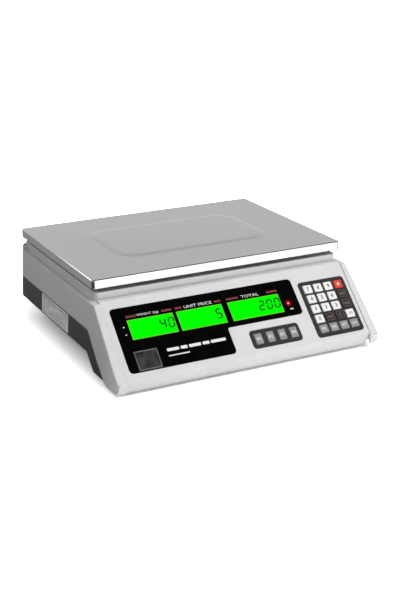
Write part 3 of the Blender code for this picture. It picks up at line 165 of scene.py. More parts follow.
bpy.context.scene.view_settings.view_transform = "Standard"
world = bpy.data.worlds.new("white_room")
world.use_nodes = True
bpy.context.scene.world = world
sky = Wire(world.node_tree)
seen = sky.node("LightPath")
above = sky.node("SeparateXYZ", None, {0: sky.node("TexCoord", out="Generated")}, out=2)
sky_colour = seen.mix(above.most(0.0).mix(rgb(0.63, 0.63, 0.63), rgb(0.27, 0.27, 0.27)), rgb(1, 1, 1))
world.node_tree.links.new(sky_colour.socket, world.node_tree.nodes["Background"].inputs["Color"])

soft_lamp("high_lamp", (0.9, -1.0, 2.6), (0, 0, 0.05), (1.6, 1.6), 50).visible_glossy = False
soft_lamp("low_lamp", (0.6, -2.4, 0.35), (0, -0.1, 0.05), (2.4, 0.6), 9)


BLACK_CARD = 0.02


def board(name, corners, glow):
    """A card that only reflections see: white ones for bright edges, black ones for depth."""
    mesh = bpy.data.meshes.new(name)
    mesh.from_pydata(corners, [], [(0, 1, 2, 3)])
    card = bpy.data.objects.new(name, mesh)
    bpy.context.collection.objects.link(card)
    card.visible_camera = card.visible_diffuse = card.visible_shadow = False
    made = bpy.data.materials.new(name)
    made.use_nodes = True
    shader = made.node_tree.nodes["Principled BSDF"]
    shader.inputs["Base Color"].default_value = rgb(0, 0, 0)
    shader.inputs["Specular IOR Level"].default_value = 0.0
    shader.inputs["Emission Color"].default_value = rgb(1, 1, 1)
    shader.inputs["Emission Strength"].default_value = glow
    mesh.materials.append(made)


def lying(west, east, south, north, height):
    """Corners of a level card."""
    return [(west, south, height), (east, south, height), (east, north, height), (west, north, height)]


board("front_board", lying(-0.06, 1.4, -1.6, -0.24, 0.002), 1.25)
board("left_board", [(-0.55, 0.3, 0.22), (-0.26, 0.3, 0.22), (-0.26, 0.3, 0.5), (-0.55, 0.3, 0.5)], 3.5)
board("black_flag", lying(-1.2, 2.2, -1.6, 0.95, 1.6), BLACK_CARD)
board("left_flag", lying(-0.6, -0.22, -0.4, 0.02, 0.003), BLACK_CARD)
board("right_flag", lying(0.24, 0.8, -0.22, 0.5, 0.003), BLACK_CARD)

floor_mesh = bpy.data.meshes.new("floor")
floor_mesh.from_pydata([(-6, -6, 0), (6, -6, 0), (6, 6, 0), (-6, 6, 0)], [], [(0, 1, 2, 3)])
floor = bpy.data.objects.new("floor", floor_mesh)
bpy.context.collection.objects.link(floor)
pale = bpy.data.materials.new("pale_floor")
pale.use_nodes = True
paint_side = Wire(pale.node_tree)
looked_at = paint_side.node("LightPath")
spot = paint_side.node("TexCoord", out="Object")
east = paint_side.node("SeparateXYZ", None, {0: spot}, out=0)
north = paint_side.node("SeparateXYZ", None, {0: spot}, out=1)
aside = abs(east) - cad_box[1][0]
before = 0.0 - north - cad_box[1][1]
behind = north - 2.4 * cad_box[1][1]
# Painted light: a few centimetres out from the case the floor glows white to the camera, so only a tight
# painted-in shadow stays near it.
painted_glow_share = aside.most(before).most(behind).between(-0.035, 0.06)
# Painted light: bounce rays find a brighter patch of floor in front and to the left, which lights the lip.
# The camera sees the whole floor lighter than white.
painted_bounce_patch = (0.0 - north).between(0.10, 0.20) * east.between(-0.36, -0.12)
floor_colour = looked_at.mix(painted_bounce_patch.mix(rgb(0.34, 0.34, 0.34), rgb(1.5, 1.5, 1.5)), rgb(2.8, 2.8, 2.8))
painted_floor_glow = (painted_glow_share * looked_at).mix(rgb(0, 0, 0), rgb(1, 1, 1))
floor_shader = pale.node_tree.nodes["Principled BSDF"]
pale.node_tree.links.new(floor_colour.socket, floor_shader.inputs["Base Color"])
pale.node_tree.links.new(painted_floor_glow.socket, floor_shader.inputs["Emission Color"])
floor_shader.inputs["Emission Strength"].default_value = 1.0
floor_shader.inputs["Roughness"].default_value = 1.0
floor_shader.inputs["Specular IOR Level"].default_value = 0.0
floor_mesh.materials.append(pale)


# ---------------------------------------------------------------- lower case
# Injection-moulded shell in dark grey ABS with a fine spark-eroded texture: the side bands,
# the lifting shelves and the deep middle that holds the load cell and the power supply.


def finish(name):
    """A new material, the start of its wires, and its Object coordinates."""
    made = bpy.data.materials.new(name)
    made.use_nodes = True
    start = Wire(made.node_tree)
    place = start.node("TexCoord", out="Object")
    return made, start, place


def settle(made, sockets, bump=None, depth=0.0, fine=0.001):
    """Sets the Principled shader's sockets from numbers, colours or wires, and its bump."""
    shader = made.node_tree.nodes["Principled BSDF"]
    for name, value in sockets.items():
        if isinstance(value, Wire):
            made.node_tree.links.new(value.socket, shader.inputs[name])
        else:
            shader.inputs[name].default_value = value
    if bump is not None:
        normal = bump.node("Bump", None, {"Height": bump, "Strength": depth, "Distance": fine})
        made.node_tree.links.new(normal.socket, shader.inputs["Normal"])
    return made


def moulded(name, tone, rough, grain=2600.0, depth=0.10):
    """Textured moulded plastic: erosion grain, slow tone drift, and handling polish."""
    made, start, place = finish(name)
    fine = start.node("TexNoise", None, {"Vector": place, "Scale": grain, "Detail": 2.0})
    drift = start.node("TexNoise", None, {"Vector": place, "Scale": 14.0, "Detail": 4.0})
    specks = start.node("TexNoise", None, {"Vector": place, "Scale": 420.0, "Detail": 1.0})
    dark = tuple(0.955 * c for c in tone)
    light = tuple(min(1.0, 1.03 * c) for c in tone)
    colour = (drift * 0.75 + specks * 0.25).between(0.3, 0.7).mix(rgb(*dark), rgb(*light))
    roughness = drift.between(0.25, 0.75) * 0.09 + fine * 0.08 + (rough - 0.085)
    return settle(made, {"Base Color": colour, "Roughness": roughness}, fine, depth, 0.0002)


def place_piece(name, mesh, body, slot, material, *stands_for):
    """Puts a finished mesh in the scene with its material, on its body, and hides what it replaces. The
    slot is not used.
    """
    piece = bpy.data.objects.new(name, mesh)
    bpy.context.collection.objects.link(piece)
    mesh.materials.clear()
    mesh.materials.append(material)
    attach(piece, body)
    if stands_for:
        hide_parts(*stands_for)
    return piece


def middles(*nodes):
    """Where along X the middles of some nodes are."""
    return [(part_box(node)[0][0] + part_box(node)[1][0]) / 2 for node in nodes]


def eased(name, node, body, slot, material, width, steps=3, share=None, cuts=()):
    """A node's skin with its edges rounded: doubles merged, flat parts freed of inner edges,
    and a Bevel along each edge that turns by more than 30 degrees. Its width is the given one,
    times what share(ends) gives for an array of the edges' two ends. A flat part round an
    opening stays divided at the places along X in cuts, so that no face has a hole."""
    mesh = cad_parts[node].data.copy()
    work = bmesh.new()
    work.from_mesh(mesh)
    bmesh.ops.remove_doubles(work, verts=work.verts, dist=1e-6)
    for x in cuts:
        everything = work.verts[:] + work.edges[:] + work.faces[:]
        made = bmesh.ops.bisect_plane(work, geom=everything, dist=1e-6, plane_co=(x, 0, 0),
                                      plane_no=(1, 0, 0))
        for part in made["geom_cut"]:
            if isinstance(part, bmesh.types.BMEdge):
                part.seam = True
    bmesh.ops.dissolve_limit(work, angle_limit=math.radians(0.5), verts=work.verts, edges=work.edges,
                             delimit={"SEAM"})
    sharp = np.array([len(e.link_faces) == 2 and e.calc_face_angle() > math.radians(30)
                      for e in work.edges])
    work.to_mesh(mesh)
    work.free()
    mesh.shade_smooth()
    points = np.empty(len(mesh.vertices) * 3)
    mesh.vertices.foreach_get("co", points)
    ends = np.empty(len(mesh.edges) * 2, int)
    mesh.edges.foreach_get("vertices", ends)
    ends = points.reshape(-1, 3)[ends.reshape(-1, 2)]
    weight = sharp * (np.ones(len(sharp)) if share is None else share(ends))
    mesh.attributes.new("bevel_weight_edge", "FLOAT", "EDGE").data.foreach_set("value", weight)
    piece = place_piece(name, mesh, body, slot, material, node)
    round_over = piece.modifiers.new("round_over", "BEVEL")
    round_over.width = width
    round_over.segments = steps
    round_over.limit_method = "WEIGHT"
    round_over.use_clamp_overlap = False
    flat = piece.modifiers.new("flat_faces", "WEIGHTED_NORMAL")
    flat.keep_sharp = True
    return piece


dark_plastic = moulded("dark_abs", (0.052, 0.052, 0.055), 0.46, depth=0.16)
eased("lower_shell", "lower_case", "housing", "dark_abs", dark_plastic, 0.0005,
      cuts=middles("power_inlet", "switch_frame", "foot_stud_front_left", "foot_stud_front_right"))


# ---------------------------------------------------------------- upper case
# Injection-moulded shell in light grey ABS, screwed to the lower one from below. It makes the
# sides, the back, the ledge round the plinth, and the two cheeks beside the sloping front.

light_plastic = moulded("light_abs", (0.66, 0.66, 0.655), 0.36, depth=0.07)


def rim_share(ends):
    """All of the width on the outer rims of the sides and on the plinth, a fifth elsewhere."""
    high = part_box("upper_case")[1]
    out = np.abs(ends[:, :, 0]).min(1) > high[0] - 0.0075
    plinth = ends[:, :, 2].min(1) > high[2] - 0.0095
    return np.where(out | plinth, 1.0, 0.2)


eased("upper_shell", "upper_case", "housing", "light_abs", light_plastic, 0.0014, 4, rim_share)


# ---------------------------------------------------------------- front fascia
# A separate moulding in the same light grey, clipped between the cheeks. It carries the
# display and the keys, folds back over the ledge and turns under at the bottom.


def fold_share(ends):
    """All of the width on the long folds, a fifth on the rims and seats."""
    low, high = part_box("front_fascia")
    long = np.abs(ends[:, 0, 0] - ends[:, 1, 0]) > 0.9 * (high[0] - low[0])
    return np.where(long, 1.0, 0.2)


eased("fascia", "front_fascia", "housing", "light_abs", light_plastic, 0.0014, 4, fold_share,
      middles("lcd_weight", "lcd_total", "memory_key_frame", "number_key_frame"))

slope = math.radians(44.5)
outward = Vector((0, -math.sin(slope), math.cos(slope)))
up_slope = Vector((0, math.cos(slope), math.sin(slope)))
face = max(v.co.dot(outward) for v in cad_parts["display_window"].data.vertices)
panel = Matrix((Vector((1, 0, 0)), up_slope, outward)).transposed().to_4x4()
panel.translation = outward * face


def on_panel(node):
    """Lowest and highest corner of a node in the panel's own x, up-slope y and outward z."""
    back = panel.inverted()
    points = np.array([back @ v.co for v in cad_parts[node].data.vertices])
    return points.min(0), points.max(0)


# ---------------------------------------------------------------- display panel
# A sheet of black acrylic, 1.2 mm thick, let into the fascia. Its legends are screen-printed on it in
# white and dark red. Round the lamp the acrylic carries a painted red glow, which is painted light from
# the lamp.

made, start, place = finish("black_acrylic")
smears = start.node("TexNoise", None, {"Vector": place, "Scale": 38.0, "Detail": 5.0})
streaks = start.node("TexNoise", None, {"Vector": place, "Scale": 900.0, "Detail": 0.0})
lamp_low, lamp_high = on_panel("indicator_lamp")
lamp_place = panel @ Vector(((lamp_low[0] + lamp_high[0]) / 2, (lamp_low[1] + lamp_high[1]) / 2, 0))
away = start.node("VectorMath", {"operation": "DISTANCE"}, {0: place, 1: tuple(lamp_place)}, out=1)
# Painted light: the acrylic itself glows red round the lamp, fading out over a few millimetres.
painted_lamp_glow = 1.0 - away.between(0.0012, 0.0062)
black_acrylic = settle(made, {
    "Base Color": smears.between(0.35, 0.75).mix(rgb(0.0012, 0.0012, 0.0012), rgb(0.0022, 0.0021, 0.0021)),
    "Roughness": smears.between(0.4, 0.8) * 0.10 + 0.12,
    "Emission Color": (painted_lamp_glow * painted_lamp_glow).mix(rgb(0, 0, 0), rgb(0.42, 0.0, 0.012)), "Emission Strength": 1.0,
    "Specular IOR Level": 0.20}, streaks, 0.02, 0.0001)
eased("display_panel", "display_window", "housing", "black_acrylic", black_acrylic, 0.00025, 2)


def slab(outline, low, high):
    """An outline of points, anticlockwise, given a thickness from low to high."""
    outline = np.asarray(outline, float)
    count = len(outline)
    levels = np.repeat((low, high), count)[:, None]
    points = np.hstack((np.vstack((outline, outline)), levels))
    here = np.arange(count)
    after = (here + 1) % count
    sides = np.stack((here, after, after + count, here + count), 1).tolist()
    return points, sides + [here[::-1].tolist(), (here + count).tolist()]


def gather(shapes, place):
    """Several (points, faces) shapes as one mesh, moved by a matrix."""
    mesh = bpy.data.meshes.new("shape")
    first = 0
    all_points, all_faces = [], []
    for points, faces in shapes:
        all_points.append(points)
        all_faces += [[first + corner for corner in face] for face in faces]
        first += len(points)
    mesh.from_pydata(np.vstack(all_points), [], all_faces)
    mesh.transform(place)
    return mesh


def lozenge(centre, size, radius, steps=4):
    """Outline of a rectangle with round corners: each quarter of the turn is an arc about
    its own corner's centre."""
    quarter = np.repeat(np.arange(4), steps + 1)
    turn = quarter * np.pi / 2 + np.tile(np.linspace(0, np.pi / 2, steps + 1), 4)
    reach = np.array(size) / 2 - radius
    corner = np.stack((np.array([1, -1, -1, 1])[quarter], np.array([1, 1, -1, -1])[quarter]), 1)
    return np.array(centre) + corner * reach + radius * np.stack((np.cos(turn), np.sin(turn)), 1)


def ink(name, tone, rough=0.5):
    """Printed ink: a thin film with the screen's weave in its edge and its thickness."""
    made, start, place = finish(name)
    cloud = start.node("TexNoise", None, {"Vector": place, "Scale": 700.0, "Detail": 2.0})
    thin = tuple(0.86 * c for c in tone)
    return settle(made, {"Base Color": cloud.between(0.3, 0.6).mix(rgb(*thin), rgb(*tone)),
                         "Roughness": cloud * 0.1 + rough - 0.05}, cloud, 0.1, 0.0001)


def words(name, text, body, slot, material, centre, height, width, place=panel, low=0.0, bold=0.0):
    """Lettering as a thin film, fitted to a height and a width about its centre."""
    curve = bpy.data.curves.new(name, "FONT")
    curve.body = text
    curve.offset = bold
    curve.extrude = 0.5
    curve.resolution_u = 3
    guide = bpy.data.objects.new(name + "_guide", curve)
    bpy.context.collection.objects.link(guide)
    mesh = bpy.data.meshes.new_from_object(guide.evaluated_get(bpy.context.evaluated_depsgraph_get()))
    bpy.data.objects.remove(guide)
    points = np.empty(len(mesh.vertices) * 3)
    mesh.vertices.foreach_get("co", points)
    points = points.reshape(-1, 3)
    middle, reach = (points.max(0) + points.min(0)) / 2, np.ptp(points, 0)
    points = (points - middle) / reach * (width, height, FILM)
    points += (*centre, low + FILM / 2)
    mesh.vertices.foreach_set("co", points.ravel())
    work = bmesh.new()
    work.from_mesh(mesh)
    bmesh.ops.remove_doubles(work, verts=work.verts, dist=1e-6)
    bmesh.ops.recalc_face_normals(work, faces=work.faces)
    work.to_mesh(mesh)
    work.free()
    mesh.transform(place)
    return place_piece(name, mesh, body, slot, material)


FILM = 0.00004
white_ink = ink("white_ink", (0.80, 0.80, 0.79))
red_ink = ink("red_ink", (0.20, 0.030, 0.026))
displays = {name: on_panel(name) for name in ("lcd_weight", "lcd_unit_price", "lcd_total")}
titles = {"lcd_weight": "WEIGHT (kg)", "lcd_unit_price": "UNIT PRICE", "lcd_total": "TOTAL"}
title_centres = {"lcd_weight": 0.47, "lcd_unit_price": 0.50, "lcd_total": 0.46}
title_widths = {"lcd_weight": 0.0275, "lcd_unit_price": 0.036, "lcd_total": 0.0235}
bar_widths = {"lcd_weight": (0.0125, 0.0130), "lcd_unit_price": (0.0085, 0.0085),
              "lcd_total": (0.0158, 0.0145)}
title_rise = 0.0037
red_bars = []
for name, (low, high) in displays.items():
    across = low[0] + title_centres[name] * (high[0] - low[0])
    line = high[1] + title_rise
    words("title_" + name, titles[name], "housing", "black_acrylic", white_ink, (across, line),
          0.0036, title_widths[name])
    left, right = bar_widths[name]
    for centre, width in ((low[0] + left / 2, left), (high[0] - right / 2, right)):
        red_bars.append(slab(lozenge((centre, line), (width, 0.0026), 0.0003), 0, FILM))
place_piece("red_bars", gather(red_bars, panel), "housing", "black_acrylic", red_ink)

# Two small pointers beside the weight display, and a plain row of bars where a name would be.
low, high = displays["lcd_weight"]
pointers = []
for rise in (0.0165, 0.0072):
    centre = np.array((low[0] - 0.0058, low[1] + rise))
    pointers.append(slab(centre + 0.0011 * np.array(((-1.0, -0.9), (1.1, 0.0), (-1.0, 0.9))), 0, FILM))
plate_left = low[0] + 0.0345
bar_line = low[1] - 0.0195
start_x = plate_left
for width in (0.0150, 0.0085, 0.0150, 0.0085, 0.0190):
    pointers.append(slab(lozenge((start_x + width / 2, bar_line), (width, 0.0037), 0.0009), 0, FILM))
    start_x += width + 0.0021
pointers.append(slab(lozenge((plate_left + 0.0130, bar_line - 0.0072), (0.0260, 0.0014), 0.0003), 0, FILM))
place_piece("plain_bars", gather(pointers, panel), "housing", "black_acrylic", white_ink)


# ---------------------------------------------------------------- displays
# Three reflective liquid-crystal modules with a green light behind them. Each is a thin glass
# sandwich on a frame; the lit segments show black.

edge_of = {"lcd_weight": "40", "lcd_unit_price": "5", "lcd_total": "200"}
SEGMENTS = {"0": "abcdef", "2": "abged", "4": "fgbc", "5": "afgcd"}


def stroke(start, end, width):
    """Outline of one segment: a bar from start to end with pointed ends."""
    start, end = np.array(start), np.array(end)
    along = (end - start) / np.linalg.norm(end - start)
    across = np.array((-along[1], along[0])) * width / 2
    tip = along * width / 2
    return np.array((start, start + tip - across, end - tip - across, end, end - tip + across,
                     start + tip + across))


def digit(figure, right, top, size, width):
    """Seven segments of one figure, leaning right by a tenth of its height."""
    wide, high = size
    corners = {"tl": (0, high), "tr": (wide, high), "ml": (0, high / 2), "mr": (wide, high / 2),
               "bl": (0, 0), "br": (wide, 0)}
    runs = {"a": ("tl", "tr"), "b": ("mr", "tr"), "c": ("br", "mr"), "d": ("bl", "br"),
            "e": ("bl", "ml"), "f": ("ml", "tl"), "g": ("ml", "mr")}
    shapes = []
    for segment in SEGMENTS[figure]:
        one, two = (np.array(corners[c], float) for c in runs[segment])
        gap = (two - one) / np.linalg.norm(two - one) * 0.00022
        outline = stroke(one + gap, two - gap, width)
        outline[:, 0] += 0.10 * outline[:, 1]
        outline += (right - wide - 0.10 * high, top - high)
        shapes.append(slab(outline, 0, FILM))
    return shapes


segment_black = ink("segment_black", (0.004, 0.012, 0.004), 0.3)
FIGURE = (0.0061, 0.0113)
PITCH = 0.0104
FIGURE_RIGHT = {"lcd_weight": 0.0015, "lcd_unit_price": 0.0032, "lcd_total": 0.0015}
for name, (low, high) in displays.items():
    glass_top = float(high[2])
    made, start, place = finish(name + "_green")
    mask = start.node("UVMap")
    across = start.node("SeparateXYZ", None, {0: mask}, out=0)
    upward = start.node("SeparateXYZ", None, {0: mask}, out=1)
    edge = (across.least(1.0 - across) * (float(high[0] - low[0]) / 0.0007)).least(
        upward.least(1.0 - upward) * (float(high[1] - low[1]) / 0.0007))
    lit = edge.between(0.35, 1.0)
    cloud = start.node("TexNoise", None, {"Vector": place, "Scale": 60.0, "Detail": 1.0})
    glow = (cloud.between(0.2, 0.8)).mix(rgb(0.001, 0.985, 0.001), rgb(0.002, 1.0, 0.002))
    mirrored = start.node("LightPath", out="Is Glossy Ray")
    glow = mirrored.mix(lit.mix(rgb(0.14, 0.20, 0.03), glow), rgb(0.0, 0.05, 0.0))
    settle(made, {"Base Color": lit.mix(rgb(0.10, 0.12, 0.02), rgb(0.0, 0.01, 0.0)),
                  "Emission Color": glow,
                  "Emission Strength": 1.0, "Roughness": lit * -0.3 + 0.5, "Specular IOR Level": 0.0})
    points, faces = slab(lozenge((low[:2] + high[:2]) / 2, high[:2] - low[:2], 0.0002, 2),
                         float(low[2]), glass_top - FILM)
    mesh = gather([(points, faces)], Matrix())
    uv = mesh.uv_layers.new(name="UVMap")
    corner = np.empty(len(mesh.loops), int)
    mesh.loops.foreach_get("vertex_index", corner)
    flat = (points[corner, :2] - low[:2]) / (high[:2] - low[:2])
    uv.data.foreach_set("uv", flat.ravel())
    mesh.transform(panel)
    place_piece(name + "_glass", mesh, "housing", "green_lcd", made, name)
    shapes = []
    for i, figure in enumerate(reversed(edge_of[name])):
        right = float(high[0]) - FIGURE_RIGHT[name] - i * PITCH
        shapes += digit(figure, right, float(high[1]) - 0.0058, FIGURE, 0.00170)
    figures = gather(shapes, panel @ Matrix.Translation((0, 0, glass_top - FILM)))
    place_piece(name + "_figures", figures, "housing", "green_lcd", segment_black)


# ---------------------------------------------------------------- lamp and level window
# The lamp is a 3 mm red light-emitting diode behind the panel. The level window is a smoked
# acrylic cap with a raised rim, pushed into the panel over a round spirit level.


def stack(rings, loop=False):
    """A closed skin through a pile of rings with equally many points: each face joins point k
    and k + 1 of one ring to the same points of the next. The end rings are filled in, or in a
    loop the last ring is joined to the first."""
    rings = np.asarray(rings, float)
    layers, count = rings.shape[:2]
    index = np.arange(layers * count).reshape(layers, count)
    if loop:
        index = np.vstack((index, index[:1]))
    after = np.roll(index, -1, axis=1)
    sides = np.stack((index[:-1], after[:-1], after[1:], index[1:]), 2).reshape(-1, 4).tolist()
    ends = [] if loop else [index[0, ::-1].tolist(), index[-1].tolist()]
    return rings.reshape(-1, 3), sides + ends


def solid(shapes, place=Matrix(), sharp=35):
    """Shapes as one mesh with outward faces, smooth except where it turns sharply."""
    mesh = gather(shapes, place)
    work = bmesh.new()
    work.from_mesh(mesh)
    bmesh.ops.recalc_face_normals(work, faces=work.faces)
    work.to_mesh(mesh)
    work.free()
    mesh.shade_smooth()
    mesh.set_sharp_from_angle(angle=math.radians(sharp))
    return mesh


def turned(profile, centre=(0.0, 0.0), sides=32):
    """A turned skin: each (radius, height) of the profile swept round an upright axis."""
    angle = np.arange(sides) * 2 * np.pi / sides
    profile = np.asarray(profile, float)
    ring = profile[:, 0, None, None] * np.stack((np.cos(angle), np.sin(angle)), 1)
    height = np.broadcast_to(profile[:, 1, None, None], ring.shape[:2] + (1,))
    return stack(np.concatenate((ring + np.array(centre), height), 2))


def lofted(centre, size, radius, profile, steps=4, loop=False):
    """A pile of round-cornered rectangles: each (inset, height) of the profile is the outline
    moved in by the inset, with its corners tighter by as much."""
    rings = []
    for inset, height in profile:
        outline = lozenge(centre, np.array(size) - 2 * inset, max(radius - inset, 0.00005), steps)
        rings.append(np.column_stack((outline, np.full(len(outline), height))))
    return stack(rings, loop)


def quarter(inset, height, radius, steps=4):
    """Profile of a rounded edge: from the wall at inset, a quarter circle up to height."""
    angle = np.linspace(0, np.pi / 2, steps + 1)
    return [(inset + radius * (1 - math.cos(a)), height - radius * (1 - math.sin(a))) for a in angle]


low, high = on_panel("indicator_lamp")
middle, radius = (low[:2] + high[:2]) / 2, float(high[0] - low[0]) / 2
made, start, place = finish("red_lens")
away = start.node("VectorMath", {"operation": "DISTANCE"},
                  {0: place, 1: tuple(panel @ Vector((*middle, high[2])))}, out=1)
core = (1.0 - away / radius).between(0.0, 0.75)
settle(made, {"Base Color": rgb(0.30, 0.004, 0.008), "Roughness": 0.18,
              "Emission Color": core.mix(rgb(0.85, 0.03, 0.06), rgb(1.0, 0.62, 0.66)),
              "Emission Strength": 1.0})
rise = 0.8 * radius
dome = [(radius, low[2]), (radius, high[2] - rise)]
dome += [(radius * math.cos(a), high[2] - rise * (1 - math.sin(a))) for a in np.linspace(0.2, 1.5, 8)]
place_piece("lamp_lens", solid([turned(dome, middle, 24)], panel), "housing", "red_lens", made,
            "indicator_lamp")
mark = slab(lozenge(middle + (0.0016, -0.0080), (0.0046, 0.0013), 0.0003), 0, FILM)
place_piece("lamp_mark", gather([mark], panel), "housing", "black_acrylic", white_ink)

made, start, place = finish("smoked_window")
wiped = start.node("Mapping", None, {0: place, 3: (90.0, 60.0, 60.0)})
haze = start.node("TexNoise", None, {"Vector": wiped, "Scale": 1.0, "Detail": 4.0})
settle(made, {"Base Color": haze.between(0.3, 0.7).mix(rgb(0.018, 0.018, 0.018), rgb(0.050, 0.049, 0.048)),
              "Roughness": haze * 0.2 + 0.12, "Coat Weight": 0.4, "Coat Roughness": 0.05})
low, high = on_panel("level_window")
middle, reach = (low[:2] + high[:2]) / 2, high[:2] - low[:2]
profile = [(0, low[2]), (0, high[2] - 0.0007), (0.0004, high[2] - 0.0004), (0.0028, high[2] - 0.0004)]
cap = lofted(middle, reach, 0.0012, profile)
place_piece("level_cap", solid([cap], panel), "housing", "smoked_window", made, "level_window")
rim_finish = moulded("smoked_rim", (0.13, 0.13, 0.13), 0.30)
rim = [(0.0001, high[2] - 0.0007), (0.0001, high[2] - 0.0002), (0.0004, high[2]), (0.0010, high[2]),
       (0.0013, high[2] - 0.0002), (0.0013, high[2] - 0.0007)]
place_piece("level_rim", solid([lofted(middle, reach, 0.0012, rim, loop=True)], panel), "housing",
            "smoked_window", rim_finish)


# ---------------------------------------------------------------- key frames
# Two black ABS bezels, 1.2 mm thick, glued into seats in the fascia, with a window for each key.

frame_plastic = moulded("keypad_black", (0.030, 0.030, 0.031), 0.50, depth=0.14)
eased("number_bezel", "number_key_frame", "housing", "keypad_black", frame_plastic, 0.00022, 2,
      cuts=middles("key_7", "key_8", "key_9", "key_light"))
eased("memory_bezel", "memory_key_frame", "housing", "keypad_black", frame_plastic, 0.00022, 2,
      cuts=middles("key_m1", "key_m2", "key_m3", "key_m4"))


# ---------------------------------------------------------------- keys
# Twenty-four push keys, moulded in their colours with a retaining flange round the foot. The
# legends are pad-printed on the caps. Each key rides on its own body.

black_ink = ink("black_ink", (0.012, 0.012, 0.013))
grey_ink = ink("grey_ink", (0.24, 0.24, 0.24))
brown_ink = ink("brown_ink", (0.26, 0.17, 0.15))
pale_ink = ink("pale_ink", (0.66, 0.66, 0.66))
key_finish = {
    "key_white": moulded("key_white", (0.80, 0.80, 0.79), 0.38, 3400.0, 0.05),
    "key_red": moulded("key_red", (0.70, 0.045, 0.022), 0.36, 3400.0, 0.05),
    "key_black": moulded("key_black", (0.030, 0.027, 0.027), 0.42, 3400.0, 0.06),
    "key_grey": moulded("key_grey", (0.27, 0.27, 0.275), 0.40, 3400.0, 0.06)}
KEY_FOOT = 0.0006              # the flange stands out this far
key_looks = {"key_light": "key_red"}
key_looks.update((name, "key_black") for name in ("key_zero_set", "key_tare", "key_add", "key_clear"))
key_looks.update((name, "key_grey") for name in ("key_m5", "key_m6", "key_m7", "key_save",
                                                 "key_m1", "key_m2", "key_m3", "key_m4"))
key_words = {"key_zero_set": "ZERO", "key_tare": "TARE", "key_add": "ADD", "key_clear": "C",
             "key_point": ".00", "key_save": "SAVE"}
for name in sorted(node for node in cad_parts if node.startswith("key_")):
    low, high = on_panel(name)
    top, middle = float(high[2]), (low[:2] + high[:2]) / 2
    wide = high[:2] - low[:2]
    look = key_looks.get(name, "key_white")
    profile = [(0, low[2]), (0, low[2] + 0.0008), (KEY_FOOT, low[2] + 0.0009)]
    profile += quarter(KEY_FOOT, top - FILM, 0.0007, steps=5) + [(KEY_FOOT + 0.0016, top - FILM)]
    cap = lofted(middle, wide, 0.0013, profile)
    place_piece(name + "_cap", solid([cap], panel), name, look, key_finish[look], name)
    text = key_words.get(name, name[4:].upper())
    ink_of = {"key_white": black_ink, "key_red": white_ink, "key_black": brown_ink,
              "key_grey": pale_ink}[look]
    if look == "key_black":
        line = [(0.0011, top - FILM), (0.0011, top), (0.0014, top), (0.0014, top - FILM)]
        border = lofted(middle, wide, 0.0022, line, loop=True)
        place_piece(name + "_border", solid([border], panel), name, look, ink_of)
    if name == "key_light":
        ways = [np.array((math.cos(a), math.sin(a))) for a in np.arange(8) * np.pi / 4]
        rays = [stroke(0.0021 * way, 0.0030 * way, 0.0005) for way in ways]
        sun = [lozenge((0, 0), (0.0028, 0.0028), 0.00139, 6)] + rays
        sun = gather([slab(outline + middle, 0, FILM) for outline in sun],
                     panel @ Matrix.Translation((0, 0, top - FILM)))
        place_piece(name + "_legend", sun, name, look, ink_of)
        continue
    height = {1: 0.0048, 2: 0.0044, 3: 0.0032, 4: 0.0032}[len(text)]
    width = {1: 0.0030, 2: 0.0062, 3: 0.0062, 4: 0.0078}[len(text)]
    if text == "1":
        width = 0.0012
    if name == "key_point":
        ink_of = grey_ink
    words(name + "_legend", text, name, look, ink_of, middle, height, width, low=top - FILM, bold=0.012)


# ---------------------------------------------------------------- weighing tray
# Pressed from 1 mm stainless sheet, brushed lengthways. A raised field stiffens the middle and
# the edge is turned down all round. It lifts straight off its four cups.

low, high = (np.array(corner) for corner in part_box("tray"))
centre, span = (low + high)[:2] / 2, (high - low)[:2]
SHEET = 0.001
FIELD_RISE = 0.0012
FIELD = np.array((0.105, 0.064)) * 2
FIELD_BORDER = 0.011
flat_top = high[2] - FIELD_RISE
BEND = 0.0014
CORNER = 0.005


def field_rows(lift):
    """The raised field from its flat top down to its foot: half a cosine wave across the
    border, while the outline grows from the top's size to the foot's."""
    rows = []
    for share in np.linspace(0, 1, 9):
        outline = lozenge(centre, FIELD - 2 * FIELD_BORDER * (1 - share), 0.0215 + 0.0065 * share, 10)
        rise = FIELD_RISE * (0.5 + 0.5 * math.cos(math.pi * share))
        rows.append(np.column_stack((outline, np.full(len(outline), flat_top + lift + rise))))
    return rows


def edge_rows(profile):
    """The turned-down edge: each (inset, height) of the profile is one round-cornered ring."""
    rows = []
    for inset, height in profile:
        outline = lozenge(centre, span - 2 * inset, max(CORNER - inset, 0.0006), 10)
        rows.append(np.column_stack((outline, np.full(len(outline), height))))
    return rows


bend = [(BEND * (1 - math.sin(a)), flat_top - BEND * (1 - math.cos(a)))
        for a in np.linspace(0, np.pi / 2, 6)]
hem = [(0, bend[-1][1] - 0.0004), (0, low[2] + 0.0010), (0, low[2] + 0.0004), (0.0002, low[2] + 0.0001),
       (0.0005, low[2]), (0.0008, low[2] + 0.0001), (SHEET, low[2] + 0.0004)]
inner = [(SHEET, flat_top - SHEET - 0.0006), (SHEET + 0.0006, flat_top - SHEET)]
tray_rows = field_rows(0) + edge_rows([(0.012, flat_top), (BEND + 0.0006, flat_top)] + bend + hem + inner)
tray_rows += field_rows(-SHEET)[::-1]
made, start, place = finish("tray_steel")
brushed = start.node("Mapping", None, {0: place, 3: (6.0, 1500.0, 1500.0)})
lines = start.node("TexNoise", None, {"Vector": brushed, "Scale": 1.0, "Detail": 3.0})
broad = start.node("TexNoise", None, {"Vector": place, "Scale": 9.0, "Detail": 3.0})
steel_tone = (lines * 0.5 + broad * 0.5).between(0.3, 0.7)
